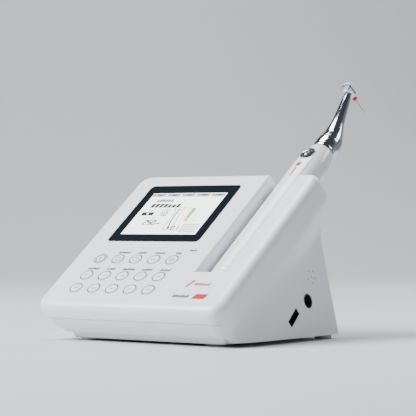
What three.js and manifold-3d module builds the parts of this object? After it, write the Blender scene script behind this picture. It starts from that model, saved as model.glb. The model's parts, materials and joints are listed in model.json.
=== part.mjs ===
// Desktop endodontic motor: a sloped control console with a cordless handpiece in its cradle.
// Millimetres, +Z up, +Y towards the back, +X to the operator's right.
import * as THREE from "three";
import { mergeVertices } from "three/addons/utils/BufferGeometryUtils.js";
import Module from "manifold-3d";

const wasm = await Module();
wasm.setup();

// ---------------------------------------------------------------- driving dimensions
const GAP = 0.3; // clearance between separate pieces
const WALL = 2.4; // moulded wall thickness

const BODY_WIDTH = 196; // at the floor, where the right flank flares out
const BODY_DEPTH = 163;
const SLOPE = THREE.MathUtils.degToRad(36.5); // control panel above the horizontal
const PANEL_FRONT_Z = 35; // height of the panel's plane above the body's front line
const PANEL_START = -6.5; // the panel's front edge, along the slope
const PANEL_LENGTH = 177; // and its back edge
const TOP_WIDTH = 188; // the body's width at the panel
const HULL_BOTTOM_Z = 7; // underside of the main hull
const PILLAR_BOTTOM_Z = 3.6; // underside of the right-hand cradle pillar
const PILLAR_X = 184; // where the hull ends and the pillar starts
const HULL_INSET = 26; // how far the hull tucks in at the floor
const HULL_START_Z = 26; // height where the hull starts to tuck in
const HULL_FRONT_Y = 15.5; // front of the hull's flat underside
const PARTING_Z = 18.5; // joint between the upper and lower housings
const CHIN_BULGE = 5;
const SIDE_SCOOP = 16; // depth of the hollow along the right flank
const LEFT_SCOOP = 4.8; // and along the left one
const SCOOP_DEPTH = 48; // its distance below the panel
const SCOOP_SPREAD = 20;
const SCOOP_FADE = { height: 50, least: 0.3 }; // the scoops run out towards the floor
const BLEND = 13; // how far from an edge its flank's shape fades in
const RIGHT_BLEND = 30; // and from the right-hand edge, whose hollow is deeper
const BACK_KINK = { y: 158.5, z: 124 }; // where the end face meets the back wall

const AXIS_X = 153; // handpiece axis, across the body
const AXIS_DROP = 19.8; // and below the panel's plane
const HANDPIECE_R = 14.6;
const TAIL_Y = 41.5; // handpiece ends, along the slope
const NOSE_Y = 235.3;
const CRADLE = { start: 40, topHalf: 16, radius: 15.2, wall: 2 };

const BEND_Y = 256; // apex of the contra-angle's bend, along the slope
const BEND = THREE.MathUtils.degToRad(20);
const HEAD_REACH = 56; // apex to the head's axis, along the neck
const HEAD_R = 4.5;

const SCREEN = { x0: 19, x1: 117.4, s0: 79.6, s1: 161.7, radius: 4.5, thickness: 1.6 };
const LCD = { x0: 27.9, x1: 107.9, s0: 90.2, s1: 150.2, border: 3, thickness: 3 };
const KEY = { r: 6.4, x0: 29, pitch: 19.1, rows: [54.8, 32.1, 14.9], proud: 0.4, flange: 7.3 };
const KEY_NAMES = [
  ["power", "auto_reverse", "direction", "apex", "set"],
  ["system_up", "file_up", "torque_up", "speed_up", "angle_up"],
  ["system_down", "file_down", "torque_down", "speed_down", "angle_down"],
];
const LAMP = { x: 121.8, s: 68, r: 1.3 };

const POWER_SOCKET = { y: 121, z: 33, face: 188.8, hole: 6.3, bore: 5.2, depth: 12 };
const LEAD_SOCKET = { y: 95.7, z: 20.2, face: 189.9, length: 18.2, height: 6.6, depth: 12 };
const SPEAKER = { y: 132, z: 53, ring: 5.5, hole: 0.9, holes: 5, r: 9.5 };
const CHARGE_PIN = { s: 62, spacing: 8, r: 1.1, top: -13.7, pad: 1.6 };

const FOOT = { r: 7.6, height: 2.1, pillarHeight: 3.4 };
const FEET = {
  front_left: [34, 25],
  front_right: [160, 29],
  rear_left: [42, 141],
  rear_right: [185, 152],
};
const PLINTH = { x0: 21, x1: 181, y0: 13.5, y1: 150, z0: 2.2, z1: 6.7, draft: 2.2, radius: 5 };
const SCREW = { head: 2.6, shank: 1.4, top: 11.4, inset: 26 };

// ---------------------------------------------------------------- materials
const material = (color, roughness, metalness = 0) =>
  new THREE.MeshStandardMaterial({ color, roughness, metalness });
const WHITE = material(0xeef0f4, 0.3);
const KEY_WHITE = material(0xf4f5f8, 0.4);
const BLACK_GLASS = material(0x0a0d12, 0.06);
const BLACK = material(0x0b0b0d, 0.35);
const DISPLAY = material(0xfbfbf8, 0.4);
const RUBBER = material(0xb9bcc0, 0.6);
const BOARD = material(0x1f6b3c, 0.5);
const STEEL = material(0xb9bdc4, 0.25, 1);
const CHROME = material(0xdfe3ea, 0.08, 1);
const GOLD = material(0xd8b25a, 0.25, 1);
const RED = material(0xd8232f, 0.5);
const LAMP_AMBER = material(0xf0a040, 0.2);
const BATTERY = material(0x2f5f9f, 0.4);

// ---------------------------------------------------------------- solid helpers
function solid(geometry) {
  let bare = geometry.index ? geometry.toNonIndexed() : geometry.clone();
  bare.deleteAttribute("normal");
  bare.deleteAttribute("uv");
  bare = mergeVertices(bare, 1e-4);
  const triVerts = new Uint32Array(bare.index.array);
  const build = () =>
    new wasm.Manifold(
      new wasm.Mesh({ numProp: 3, vertProperties: bare.attributes.position.array, triVerts }),
    );
  const made = build();
  if (made.volume() > 0) return made;
  for (let i = 0; i < triVerts.length; i += 3) {
    [triVerts[i], triVerts[i + 1]] = [triVerts[i + 1], triVerts[i]];
  }
  return build();
}

function geometryOf(manifold) {
  const { vertProperties, triVerts } = manifold.getMesh();
  const geometry = new THREE.BufferGeometry();
  geometry.setAttribute("position", new THREE.BufferAttribute(vertProperties, 3));
  geometry.setIndex(new THREE.BufferAttribute(triVerts, 1));
  geometry.computeVertexNormals();
  return geometry;
}

function piece(parent, name, shape, surface) {
  const made = shape.isBufferGeometry ? solid(shape) : shape;
  const mesh = new THREE.Mesh(geometryOf(made), surface);
  mesh.name = name;
  parent.add(mesh);
  return mesh;
}

const join = (...parts) => parts.reduce((all, next) => all.add(next));

function box(x0, y0, z0, x1, y1, z1) {
  const geometry = new THREE.BoxGeometry(x1 - x0, y1 - y0, z1 - z0);
  return geometry.translate((x0 + x1) / 2, (y0 + y1) / 2, (z0 + z1) / 2);
}
const boxSolid = (...corners) => solid(box(...corners));

// A disc or rod along local Z.
function rodZ(x, y, z0, z1, r, sides = 20) {
  const geometry = new THREE.CylinderGeometry(r, r, z1 - z0, sides).rotateX(Math.PI / 2);
  return geometry.translate(x, y, (z0 + z1) / 2);
}
// A rod along local X.
function rodX(x0, x1, y, z, r, sides = 20) {
  const geometry = new THREE.CylinderGeometry(r, r, x1 - x0, sides).rotateZ(Math.PI / 2);
  return geometry.translate((x0 + x1) / 2, y, z);
}
// A body of revolution about local Y; profile is a list of [radius, y] that closes itself.
function turned(profile, sides = 24) {
  const points = profile.map(([r, y]) => new THREE.Vector2(r, y));
  if (profile[0][0] > 0 || profile.at(-1)[0] > 0) points.push(points[0].clone());
  return solid(new THREE.LatheGeometry(points, sides));
}
const standUp = (manifold) => manifold.rotate([90, 0, 0]); // local Y becomes local Z

function roundedRect(x0, y0, x1, y1, r) {
  const shape = new THREE.Shape();
  shape.absarc(x1 - r, y0 + r, r, -Math.PI / 2, 0, false);
  shape.absarc(x1 - r, y1 - r, r, 0, Math.PI / 2, false);
  shape.absarc(x0 + r, y1 - r, r, Math.PI / 2, Math.PI, false);
  shape.absarc(x0 + r, y0 + r, r, Math.PI, 1.5 * Math.PI, false);
  return shape;
}
function slab(shape, z0, z1, curveSegments = 6, steps = 1) {
  const options = { depth: z1 - z0, steps, bevelEnabled: false, curveSegments };
  return new THREE.ExtrudeGeometry(shape, options).translate(0, 0, z0);
}
function warp(geometry, move) {
  const at = geometry.attributes.position;
  const point = new THREE.Vector3();
  for (let i = 0; i < at.count; i++) {
    point.fromBufferAttribute(at, i);
    move(point);
    at.setXYZ(i, point.x, point.y, point.z);
  }
  return geometry;
}

// ---------------------------------------------------------------- frames
// The panel frame: local X across, local Y up the slope, local Z out of the panel.
const panelFrame = new THREE.Group();
panelFrame.position.set(0, 0, PANEL_FRONT_Z);
panelFrame.rotation.x = SLOPE;
panelFrame.updateMatrix();
const toWorld = (geometry) => solid(geometry.applyMatrix4(panelFrame.matrix));

// The handpiece frame: local Y along its axis. The neck frame: local Y along the neck.
const handpieceFrame = new THREE.Group();
handpieceFrame.position.set(AXIS_X, 0, -AXIS_DROP);
const neckFrame = new THREE.Group();
neckFrame.position.set(0, BEND_Y, 0);
neckFrame.rotation.x = BEND;
const headFrame = new THREE.Group();
headFrame.position.set(0, HEAD_REACH, 0);
panelFrame.add(handpieceFrame);
handpieceFrame.add(neckFrame);
neckFrame.add(headFrame);

// ---------------------------------------------------------------- the console's outer form
const { lerp, clamp } = THREE.MathUtils;

// Seen square to the panel, the form is this outline; extra points let the flanks bend.
function bodyOutline(wall) {
  const shape = new THREE.Shape();
  const right = TOP_WIDTH - wall;
  const back = PANEL_LENGTH - wall;
  const corner = (x, y, r, turn) =>
    shape.absarc(x, y, r - wall, turn * (Math.PI / 2), (turn + 1) * (Math.PI / 2), false);
  const walk = (from, to, steps) => {
    for (let i = 1; i < steps; i++) {
      shape.lineTo(lerp(from[0], to[0], i / steps), lerp(from[1], to[1], i / steps));
    }
  };
  const frontRight = PANEL_START + 14;
  const frontLeft = PANEL_START + 10;
  const front = PANEL_START + wall;
  corner(TOP_WIDTH - 14, frontRight, 14, 3);
  walk([right, frontRight], [right, PANEL_LENGTH - 7], 9);
  corner(TOP_WIDTH - 7, PANEL_LENGTH - 7, 7, 0);
  walk([TOP_WIDTH - 7, back], [150, back], 4);
  walk([150, back], [13, back], 3);
  corner(13, PANEL_LENGTH - 13, 13, 1);
  walk([wall, PANEL_LENGTH - 13], [wall, frontLeft], 8);
  corner(10, frontLeft, 10, 2);
  walk([10, front], [150, front], 3);
  walk([150, front], [TOP_WIDTH - 14, front], 4);
  shape.closePath();
  return shape;
}

// Carries a point of that outline (x, s) down the wall by a share, drop, from 0 to 1.
function bodyPoint(x, s, drop, wall) {
  const sin = Math.sin(SLOPE);
  const cos = Math.cos(SLOPE);
  const near = (distance) => clamp(1 - (distance - wall) / BLEND, 0, 1);
  const left = near(x);
  const front = near(s - PANEL_START);
  const back = near(PANEL_LENGTH - s);

  const floor = PILLAR_BOTTOM_Z + wall;
  const footX = (across) => lerp(HULL_INSET, BODY_WIDTH, across / TOP_WIDTH);
  const foot = {
    x: footX(x),
    y: lerp(HULL_FRONT_Y, BODY_DEPTH, (s - PANEL_START) / (PANEL_LENGTH - PANEL_START)),
  };
  const top = { y: s * cos + wall * sin, z: PANEL_FRONT_Z + s * sin - wall * cos };
  const at = new THREE.Vector3(
    lerp(x, foot.x, drop),
    lerp(top.y, foot.y, drop),
    lerp(top.z, floor, drop),
  );

  // the chin swells forward, square to the line from the panel's edge to the floor
  const chin = front * CHIN_BULGE * Math.max(Math.sin(Math.PI * drop), 0) ** 0.8;
  at.y -= chin * cos;
  at.z -= chin * sin;

  // the back wall runs square to the panel at first, then down to the floor
  const kink = 0.2;
  const upper = drop < kink;
  const share = upper ? drop / kink : (drop - kink) / (1 - kink);
  const kinkY = BACK_KINK.y - wall;
  const backY = upper ? lerp(top.y, kinkY, share) : lerp(kinkY, BODY_DEPTH - wall, share);
  const backZ = upper ? lerp(top.z, BACK_KINK.z, share) : lerp(BACK_KINK.z, floor, share);
  at.y = lerp(at.y, backY, back);
  at.z = lerp(at.z, backZ, back);

  // the left flank tucks under like a hull, the right one is scooped
  const tucked = clamp((HULL_START_Z - at.z) / 22, 0, 1) ** 2.2 * HULL_INSET;
  const depth = (PANEL_FRONT_Z + at.y * Math.tan(SLOPE) - at.z) * cos;
  const fade = clamp(at.z / SCOOP_FADE.height, SCOOP_FADE.least, 1);
  const scoop = fade * Math.exp(-(((depth - SCOOP_DEPTH) / SCOOP_SPREAD) ** 2));
  const leftX = Math.max(tucked, LEFT_SCOOP * scoop * (1 - front)) + wall;
  const rightX = lerp(BODY_WIDTH, TOP_WIDTH, clamp(at.z / 140, 0, 1)) - SIDE_SCOOP * scoop - wall;
  at.x = lerp(at.x, leftX, left);
  const edge = TOP_WIDTH - wall;
  const right = clamp(1 - (edge - x) / RIGHT_BLEND, 0, 1);
  at.x += right * (rightX - lerp(edge, footX(edge), drop));
  return at;
}

function bodyForm(wall, steps = 10) {
  const form = slab(bodyOutline(wall), 0, 1, 3, steps);
  return solid(warp(form, (p) => p.copy(bodyPoint(p.x, p.y, 1 - p.z, wall))));
}

// The hull's underside is higher than the pillar's, which makes room for the plinth.
const far = 400;
const underHull = (wall) =>
  boxSolid(-far, -far, -far, PILLAR_X + wall, far, HULL_BOTTOM_Z + wall);
const outer = bodyForm(0).subtract(underHull(0));
const cavity = bodyForm(WALL).subtract(underHull(WALL));

// ---------------------------------------------------------------- handpiece cradle
// A U-shaped channel, seen along the slope: sloping walls that run into a half circle.
function channel(grow, top, s0, s1) {
  const r = CRADLE.radius + grow;
  const half = CRADLE.topHalf + grow;
  const shape = new THREE.Shape();
  shape.moveTo(half, top);
  shape.lineTo(r, -AXIS_DROP);
  shape.absarc(0, -AXIS_DROP, r, 0, -Math.PI, true);
  shape.lineTo(-half, top);
  shape.closePath();
  const geometry = slab(shape, 0, s1 - s0, 9).rotateX(Math.PI / 2);
  return geometry.translate(AXIS_X, s1, 0);
}
const channelEnd = PANEL_LENGTH + 30;
const skin = WALL + GAP;
const channelInside = () => toWorld(channel(0, 3, CRADLE.start, channelEnd));
const channelOutside = (grow) =>
  toWorld(channel(CRADLE.wall + grow, -skin, CRADLE.start - CRADLE.wall - grow, channelEnd));

function cradleTrough() {
  const pins = [-0.5, 0.5].map((side) => {
    const x = AXIS_X + side * CHARGE_PIN.spacing;
    return toWorld(rodZ(x, CHARGE_PIN.s, -45, -30, CHARGE_PIN.r + GAP, 12));
  });
  return channelOutside(0).subtract(channelInside()).intersect(outer).subtract(join(...pins));
}

// ---------------------------------------------------------------- housings
const keySpots = KEY_NAMES.flatMap((row, j) =>
  row.map((name, i) => ({ name, x: KEY.x0 + i * KEY.pitch, s: KEY.rows[j] })),
);

function panelOpenings() {
  const screen = roundedRect(SCREEN.x0, SCREEN.s0, SCREEN.x1, SCREEN.s1, SCREEN.radius);
  const ledge = roundedRect(LCD.x0 - 4, LCD.s0 - 4, LCD.x1 + 4, LCD.s1 + 4, 2);
  const pocket = toWorld(slab(screen, -SCREEN.thickness - GAP, 2));
  const window = toWorld(slab(ledge, -6, 2));
  const keys = keySpots.map(({ x, s }) => toWorld(rodZ(x, s, -4, 2, KEY.r + GAP, 16)));
  const lamp = toWorld(rodZ(LAMP.x, LAMP.s, -4, 2, LAMP.r + GAP, 12));
  return join(pocket, window, ...keys, lamp);
}

const speakerSpots = [[0, 0]].concat(
  Array.from({ length: SPEAKER.holes }, (_, i) => {
    const angle = Math.PI / 2 + ((i + 0.5) * 2 * Math.PI) / SPEAKER.holes;
    return [SPEAKER.ring * Math.cos(angle), SPEAKER.ring * Math.sin(angle)];
  }),
);

// A block centred on the lead socket, turned to lie along the slope.
function leadBlock(x0, x1, length, height) {
  const geometry = new THREE.BoxGeometry(x1 - x0, length, height).rotateX(SLOPE);
  return solid(geometry.translate((x0 + x1) / 2, LEAD_SOCKET.y, LEAD_SOCKET.z));
}

function flankOpenings() {
  const { y, z, hole } = POWER_SOCKET;
  const power = solid(rodX(180, 200, y, z, hole, 24));
  const lead = leadBlock(180, 200, LEAD_SOCKET.length, LEAD_SOCKET.height);
  const sound = speakerSpots.map(([dy, dz]) =>
    solid(rodX(175, 200, SPEAKER.y + dy, SPEAKER.z + dz, SPEAKER.hole, 8)),
  );
  return join(power, lead, ...sound);
}

const aboveParting = boxSolid(-far, -far, PARTING_Z + GAP / 2, far, far, far);
const pillarSide = boxSolid(PILLAR_X + GAP / 2, -far, -far, far, far, far);
const hullSide = boxSolid(-far, -far, -far, PILLAR_X - GAP / 2, far, PARTING_Z - GAP / 2);

function upperHousing() {
  return outer
    .subtract(cavity)
    .intersect(join(aboveParting, pillarSide))
    .subtract(channelInside())
    .subtract(channelOutside(GAP))
    .subtract(panelOpenings())
    .subtract(flankOpenings());
}

const screwSpots = [0, 1].flatMap((i) =>
  [0, 1].map((j) => [
    i ? PLINTH.x1 - SCREW.inset : PLINTH.x0 + SCREW.inset,
    j ? PLINTH.y1 - SCREW.inset : PLINTH.y0 + SCREW.inset,
  ]),
);
const screwHoles = (r, z0, z1) =>
  join(...screwSpots.map(([x, y]) => solid(rodZ(x, y, z0, z1, r + GAP, 16))));

function lowerHousing() {
  const hull = outer.subtract(cavity).intersect(hullSide);
  return hull.subtract(screwHoles(SCREW.shank, 0, 20));
}

function plinth() {
  const { x0, x1, y0, y1, z0, z1, draft, radius } = PLINTH;
  const centre = { x: (x0 + x1) / 2, y: (y0 + y1) / 2 };
  const form = warp(slab(roundedRect(x0, y0, x1, y1, radius), z0, z1), (p) => {
    const shrink = (draft * (z1 - p.z)) / (z1 - z0);
    p.x -= Math.sign(p.x - centre.x) * shrink;
    p.y -= Math.sign(p.y - centre.y) * shrink;
  });
  return solid(form)
    .subtract(screwHoles(SCREW.shank, 0, 20))
    .subtract(screwHoles(SCREW.head, 0, z0 + 2.4));
}

function housingScrew([x, y]) {
  const head = solid(rodZ(x, y, PLINTH.z0 + 0.3, PLINTH.z0 + 2, SCREW.head, 16));
  return join(head, solid(rodZ(x, y, PLINTH.z0 + 1.9, SCREW.top, SCREW.shank, 12)));
}

const console_ = new THREE.Group();
piece(console_, "upper_housing", upperHousing(), WHITE);
piece(console_, "lower_housing", lowerHousing(), WHITE);
piece(console_, "base_plinth", plinth(), WHITE);
piece(console_, "cradle_trough", cradleTrough(), WHITE);
screwSpots.forEach((spot, i) => {
  piece(console_, `housing_screw_${i + 1}`, housingScrew(spot), STEEL);
});
for (const [corner, [x, y]] of Object.entries(FEET)) {
  const height = x > PILLAR_X ? FOOT.pillarHeight : FOOT.height;
  piece(console_, `foot_${corner}`, rodZ(x, y, 0, height, FOOT.r, 28), RUBBER);
}

// ---------------------------------------------------------------- screen, keys and boards
{
  const glass = roundedRect(
    SCREEN.x0 + GAP, SCREEN.s0 + GAP, SCREEN.x1 - GAP, SCREEN.s1 - GAP, SCREEN.radius,
  );
  piece(panelFrame, "screen_window", slab(glass, -SCREEN.thickness, 0), BLACK_GLASS);
  const b = LCD.border;
  const lcdTop = -SCREEN.thickness - 0.4;
  const lcd = box(
    LCD.x0 - b, LCD.s0 - b, lcdTop - LCD.thickness, LCD.x1 + b, LCD.s1 + b, lcdTop,
  );
  piece(panelFrame, "lcd_panel", lcd, DISPLAY);
  piece(panelFrame, "status_lamp", rodZ(LAMP.x, LAMP.s, -4, 0.1, LAMP.r, 12), LAMP_AMBER);
}

// A key is a cap that stands a little proud and a flange that keeps it in the panel.
const keyFlangeTop = -WALL - 0.5;
const keyTravel = 0.8;
for (const { name, x, s } of keySpots) {
  const cap = solid(rodZ(x, s, keyFlangeTop - 1, KEY.proud, KEY.r, 16));
  const flange = solid(rodZ(x, s, keyFlangeTop - 1, keyFlangeTop, KEY.flange, 16));
  piece(panelFrame, `key_${name}`, join(cap, flange), KEY_WHITE);
}
{
  const x0 = KEY.x0 - 10;
  const x1 = KEY.x0 + 4 * KEY.pitch + 10;
  const s0 = KEY.rows[2] - 9;
  const s1 = KEY.rows[0] + 9;
  const matTop = keyFlangeTop - 1 - keyTravel - 0.4;
  piece(panelFrame, "keypad_mat", box(x0, s0, matTop - 1.2, x1, s1, matTop), RUBBER);
  piece(panelFrame, "keypad_board", box(x0, s0, matTop - 3.4, x1, s1, matTop - 1.6), BOARD);
}

// The main board: a plate with its tallest components, on the hull's floor.
{
  const z = 12;
  const chips = [
    [46, 62, 3], [80, 62, 2], [62, 100, 6], [104, 112, 9], [118, 76, 4],
  ].map(([x, y, h]) => boxSolid(x - 7, y - 7, z + 1, x + 7, y + 7, z + 1.6 + h));
  piece(console_, "main_board", join(boxSolid(34, 44, z, 136, 130, z + 1.6), ...chips), BOARD);
}

// ---------------------------------------------------------------- sockets and speaker
{
  const { y, z, face, hole, bore, depth } = POWER_SOCKET;
  const barrel = join(
    solid(rodX(face - depth - 2, face, y, z, hole - GAP, 24)),
    solid(rodX(face - depth - 2, face - 4, y, z, hole + 1.6, 24)),
  );
  const contacts = [0, 1, 2].map((i) => {
    const angle = Math.PI / 2 + (i * 2 * Math.PI) / 3;
    const at = [y + 2.9 * Math.cos(angle), z + 2.9 * Math.sin(angle)];
    return solid(rodX(face - depth - 1, face - depth + 3, ...at, 0.7, 8));
  });
  const hollow = solid(rodX(face - depth, face + 5, y, z, bore, 24));
  piece(console_, "power_socket", join(barrel.subtract(hollow), ...contacts), BLACK);
}
{
  const { face, length, height, depth } = LEAD_SOCKET;
  const plug = join(
    leadBlock(face - depth - 1.5, face, length - 2 * GAP, height - 2 * GAP),
    leadBlock(face - depth - 1.5, face - 5, length + 2, height + 2),
  );
  const hollow = leadBlock(face - depth, face + 5, length - 1.8, height - 1.4);
  piece(console_, "lead_socket", plug.subtract(hollow), BLACK);
}
{
  const { y, z, r } = SPEAKER;
  const magnet = solid(rodX(166, 171.5, y, z, r * 0.6, 16));
  piece(console_, "speaker", join(solid(rodX(171, 175.5, y, z, r, 24)), magnet), BLACK);
}
{
  const { s, spacing, r, top } = CHARGE_PIN;
  const bottom = -AXIS_DROP - CRADLE.radius;
  const pins = [-0.5, 0.5].flatMap((side) => {
    const x = AXIS_X + side * spacing;
    return solid(rodZ(x, s, bottom - 5, top - AXIS_DROP, r, 12));
  });
  const reach = spacing / 2 + 3;
  const bar = boxSolid(AXIS_X - reach, s - 3, bottom - 6, AXIS_X + reach, s + 3, bottom - 4);
  piece(panelFrame, "charge_pins", join(bar, ...pins), GOLD);
}

// ---------------------------------------------------------------- handpiece
const coverStart = 56;
const coverEnd = 230;
const coverHalf = THREE.MathUtils.degToRad(33);

// A wedge about the handpiece axis that holds its top cover.
function coverWedge(trim) {
  const reach = 40;
  const half = coverHalf - trim / HANDPIECE_R;
  const shape = new THREE.Shape();
  shape.moveTo(0, 0);
  shape.lineTo(reach * Math.sin(half), reach * Math.cos(half));
  shape.lineTo(-reach * Math.sin(half), reach * Math.cos(half));
  shape.closePath();
  const geometry = slab(shape, 0, coverEnd - coverStart - 2 * trim).rotateX(Math.PI / 2);
  return solid(geometry.translate(0, coverEnd - trim, 0));
}

const handpieceTube = turned(
  [
    [14.3, 50.2], [HANDPIECE_R, 56], [HANDPIECE_R, 212], [13.7, 225], [12.5, 231.5],
    [11.1, NOSE_Y], [5.4, NOSE_Y], [5.4, 232.6], [10, 231], [11.8, 224], [12.8, 210], [12.8, 50.2],
  ],
  40,
);

// The button sits in an oval bezel on the cover, tipped towards the nose.
const buttonFrame = new THREE.Group();
buttonFrame.position.set(0, 217, 14.3);
buttonFrame.rotation.x = THREE.MathUtils.degToRad(-5);
handpieceFrame.add(buttonFrame);
buttonFrame.updateMatrix();
const bezel = { halfWidth: 5.4, halfLength: 8, r: 5.3, bottom: -2.2, top: 0.35 };
const button = { r: 4.4, bottom: -0.8, top: 0.8 };
const bezelShape = (grow) =>
  roundedRect(
    -bezel.halfWidth - grow, -bezel.halfLength - grow,
    bezel.halfWidth + grow, bezel.halfLength + grow, bezel.r + grow,
  );
const bezelHole = solid(slab(bezelShape(GAP), -6, 6).applyMatrix4(buttonFrame.matrix));

const padRods = (r, z0) =>
  join(
    ...[-0.5, 0.5].map((side) =>
      solid(rodZ(side * CHARGE_PIN.spacing, CHARGE_PIN.s, z0, -10.6, r, 12)),
    ),
  );

piece(
  handpieceFrame,
  "handpiece_shell",
  handpieceTube.subtract(coverWedge(0)).subtract(padRods(CHARGE_PIN.pad + GAP, -20)),
  WHITE,
);
piece(
  handpieceFrame,
  "handpiece_cover",
  handpieceTube.intersect(coverWedge(GAP)).subtract(bezelHole),
  WHITE,
);
piece(
  buttonFrame,
  "button_bezel",
  solid(slab(bezelShape(0), bezel.bottom, bezel.top)).subtract(
    solid(rodZ(0, 0, bezel.bottom + 0.5, 2, button.r + GAP, 24)),
  ),
  BLACK,
);
piece(buttonFrame, "handpiece_button", rodZ(0, 0, button.bottom, button.top, button.r, 24), BLACK);

piece(
  handpieceFrame,
  "handpiece_end_cap",
  turned([
    [0, TAIL_Y], [9, TAIL_Y], [12, 42.6], [13.8, 45.4], [14.3, 49.9], [12.5, 49.9],
    [12.5, 53], [11, 53], [11, 46], [0, 46],
  ]),
  WHITE,
);
piece(
  handpieceFrame,
  "handpiece_battery",
  turned([[0, 66], [9.2, 66], [9.2, 131], [3, 131], [3, 132], [0, 132]], 20),
  BATTERY,
);
piece(
  handpieceFrame,
  "handpiece_board",
  join(boxSolid(-8, 136, -1, 8, 176, 0.6), boxSolid(-4, 150, 0.2, 4, 158, 2.4)),
  BOARD,
);
{
  const pads = padRods(CHARGE_PIN.pad, CHARGE_PIN.top + GAP);
  piece(handpieceFrame, "charge_pads", join(pads, boxSolid(-6, 60, -10.8, 6, 64, -9.6)), GOLD);
}

// Motor: a can with end walls, its rotor, and the nose that the contra-angle plugs onto.
piece(
  handpieceFrame,
  "motor_can",
  turned(
    [
      [2, 180], [10.2, 180], [10.2, 221], [2, 221], [2, 219], [6.4, 219], [6.4, 182], [2, 182],
    ],
    24,
  ),
  STEEL,
);
const dog = { y: 238, half: 0.55, reach: 1.6, length: 2.4 };
piece(
  handpieceFrame,
  "motor_rotor",
  join(
    turned(
      [[0, 184], [1.6, 184], [5.8, 184.5], [5.8, 216.5], [1.6, 217], [1.6, dog.y], [0, dog.y]],
      20,
    ),
    boxSolid(-dog.reach, dog.y - 0.2, -dog.half, dog.reach, dog.y + dog.length, dog.half),
  ),
  STEEL,
);
piece(
  handpieceFrame,
  "motor_nose",
  turned(
    [
      [2.4, 221.4], [9.6, 221.4], [9.6, 223.4], [4.9, 225], [4.9, 241.4], [4.4, 241.4],
      [4.4, 243], [4.9, 243], [4.9, 244.6], [2.4, 244.6],
    ],
    24,
  ),
  STEEL,
);
piece(
  handpieceFrame,
  "nose_seal",
  turned([[4.7, 241.7], [5.1, 241.7], [5.1, 242.7], [4.7, 242.7]]),
  BLACK,
);

// ---------------------------------------------------------------- contra-angle
const bendStart = 250;
const bendArc = 12;

// Bends a straight body along local Y into the contra-angle's line.
function bent(point) {
  const along = point.y - bendStart;
  if (along <= 0) return;
  const radius = bendArc / BEND;
  const turn = BEND * Math.min(along / bendArc, 1);
  const past = Math.max(along - bendArc, 0);
  const centreY = bendStart + radius * Math.sin(turn) + past * Math.cos(turn);
  const centreZ = radius * (1 - Math.cos(turn)) + past * Math.sin(turn);
  const offset = point.z;
  point.y = centreY - offset * Math.sin(turn);
  point.z = centreZ + offset * Math.cos(turn);
}

function contraSleeve() {
  const profile = [
    [5.3, 235.6], [11.2, 235.6], [11.5, 240], [11.7, 245], [11.4, 250], [11, 253], [10.5, 256],
    [9.2, 261], [7.9, 266.5], [6.9, 271], [6, 276], [5.4, 282], [4.9, 290], [4.3, 298], [3.7, 304],
    [3.3, 309],
    [1.9, 309], [1.9, 274], [3.6, 265], [4.8, 262], [6.2, 257], [7.6, 253], [7.6, 250],
    [7.6, 246], [5.3, 245.8],
  ];
  const straight = profile.map(([r, y]) => new THREE.Vector2(r, y));
  straight.push(straight[0].clone());
  const curved = warp(new THREE.LatheGeometry(straight, 26), bent);
  const neckTurn = THREE.MathUtils.radToDeg(BEND);
  const headRoom = standUp(turned([[0, -12], [HEAD_R + GAP, -12], [HEAD_R + GAP, 12], [0, 12]], 32))
    .translate([0, HEAD_REACH, 0])
    .rotate([neckTurn, 0, 0])
    .translate([0, BEND_Y, 0]);
  return solid(curved).subtract(headRoom);
}
piece(handpieceFrame, "contra_sleeve", contraSleeve(), CHROME);

// A ring of square teeth about local Y: width is each tooth's share of its pitch.
function toothRing(count, inner, outerR, y0, y1, width, phase) {
  const teeth = Array.from({ length: count }, (_, i) => {
    const middle = ((i + phase) * 2 * Math.PI) / count;
    const half = (width * Math.PI) / count;
    const shape = new THREE.Shape();
    shape.moveTo(inner * Math.sin(middle - half), inner * Math.cos(middle - half));
    shape.lineTo(outerR * Math.sin(middle - half), outerR * Math.cos(middle - half));
    shape.lineTo(outerR * Math.sin(middle + half), outerR * Math.cos(middle + half));
    shape.lineTo(inner * Math.sin(middle + half), inner * Math.cos(middle + half));
    shape.closePath();
    return solid(slab(shape, 0, y1 - y0).rotateX(Math.PI / 2).translate(0, y1, 0));
  });
  return join(...teeth);
}

const bendTeeth = 12;
const pinionTeeth = 8;
const crownTeeth = 16;
const toothShare = 0.34;

// The input shaft's fork takes the rotor's dog; the cartridge gears it down to the bend gear.
const forkHalf = dog.half + GAP;
const forkEnd = dog.y + dog.length + GAP;
const fork = boxSolid(-dog.reach - 1, dog.y - 1, -forkHalf, dog.reach + 1, forkEnd, forkHalf);
piece(
  handpieceFrame,
  "input_shaft",
  turned(
    [[0, 238.4], [2, 238.4], [2, 242.6], [1.5, 243], [1.5, 247.4], [0, 247.4]],
    16,
  ).subtract(fork),
  STEEL,
);
piece(
  handpieceFrame,
  "reduction_cartridge",
  turned(
    [
      [1.9, 246.3], [7.2, 246.3], [7.2, 252], [1.9, 252], [1.9, 250.4], [6, 250.4], [6, 248],
      [1.9, 248],
    ],
  ),
  STEEL,
);
piece(
  handpieceFrame,
  "bend_drive_gear",
  join(
    turned([
      [0, 248.4], [4, 248.4], [4, 249.9], [1.5, 249.9], [1.5, 252.6], [3.5, 252.6],
      [3.5, 254.95], [0, 254.95],
    ]),
    toothRing(bendTeeth, 2.2, 3.5, 254.8, 255.58, toothShare, 0),
  ),
  STEEL,
);
piece(
  neckFrame,
  "neck_shaft",
  join(
    turned(
      [
        [0, 1.05], [3.5, 1.05], [3.5, 2.6], [1.2, 3.4], [1.2, 52.4], [0.95, 52.4], [0.95, 53.5],
        [0, 53.5],
      ],
      20,
    ),
    toothRing(bendTeeth, 2.2, 3.5, 0.42, 1.2, toothShare, 0.5),
    toothRing(pinionTeeth, 0.8, 1.5, 52.3, 53.5, toothShare, 0),
  ),
  STEEL,
);

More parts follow.
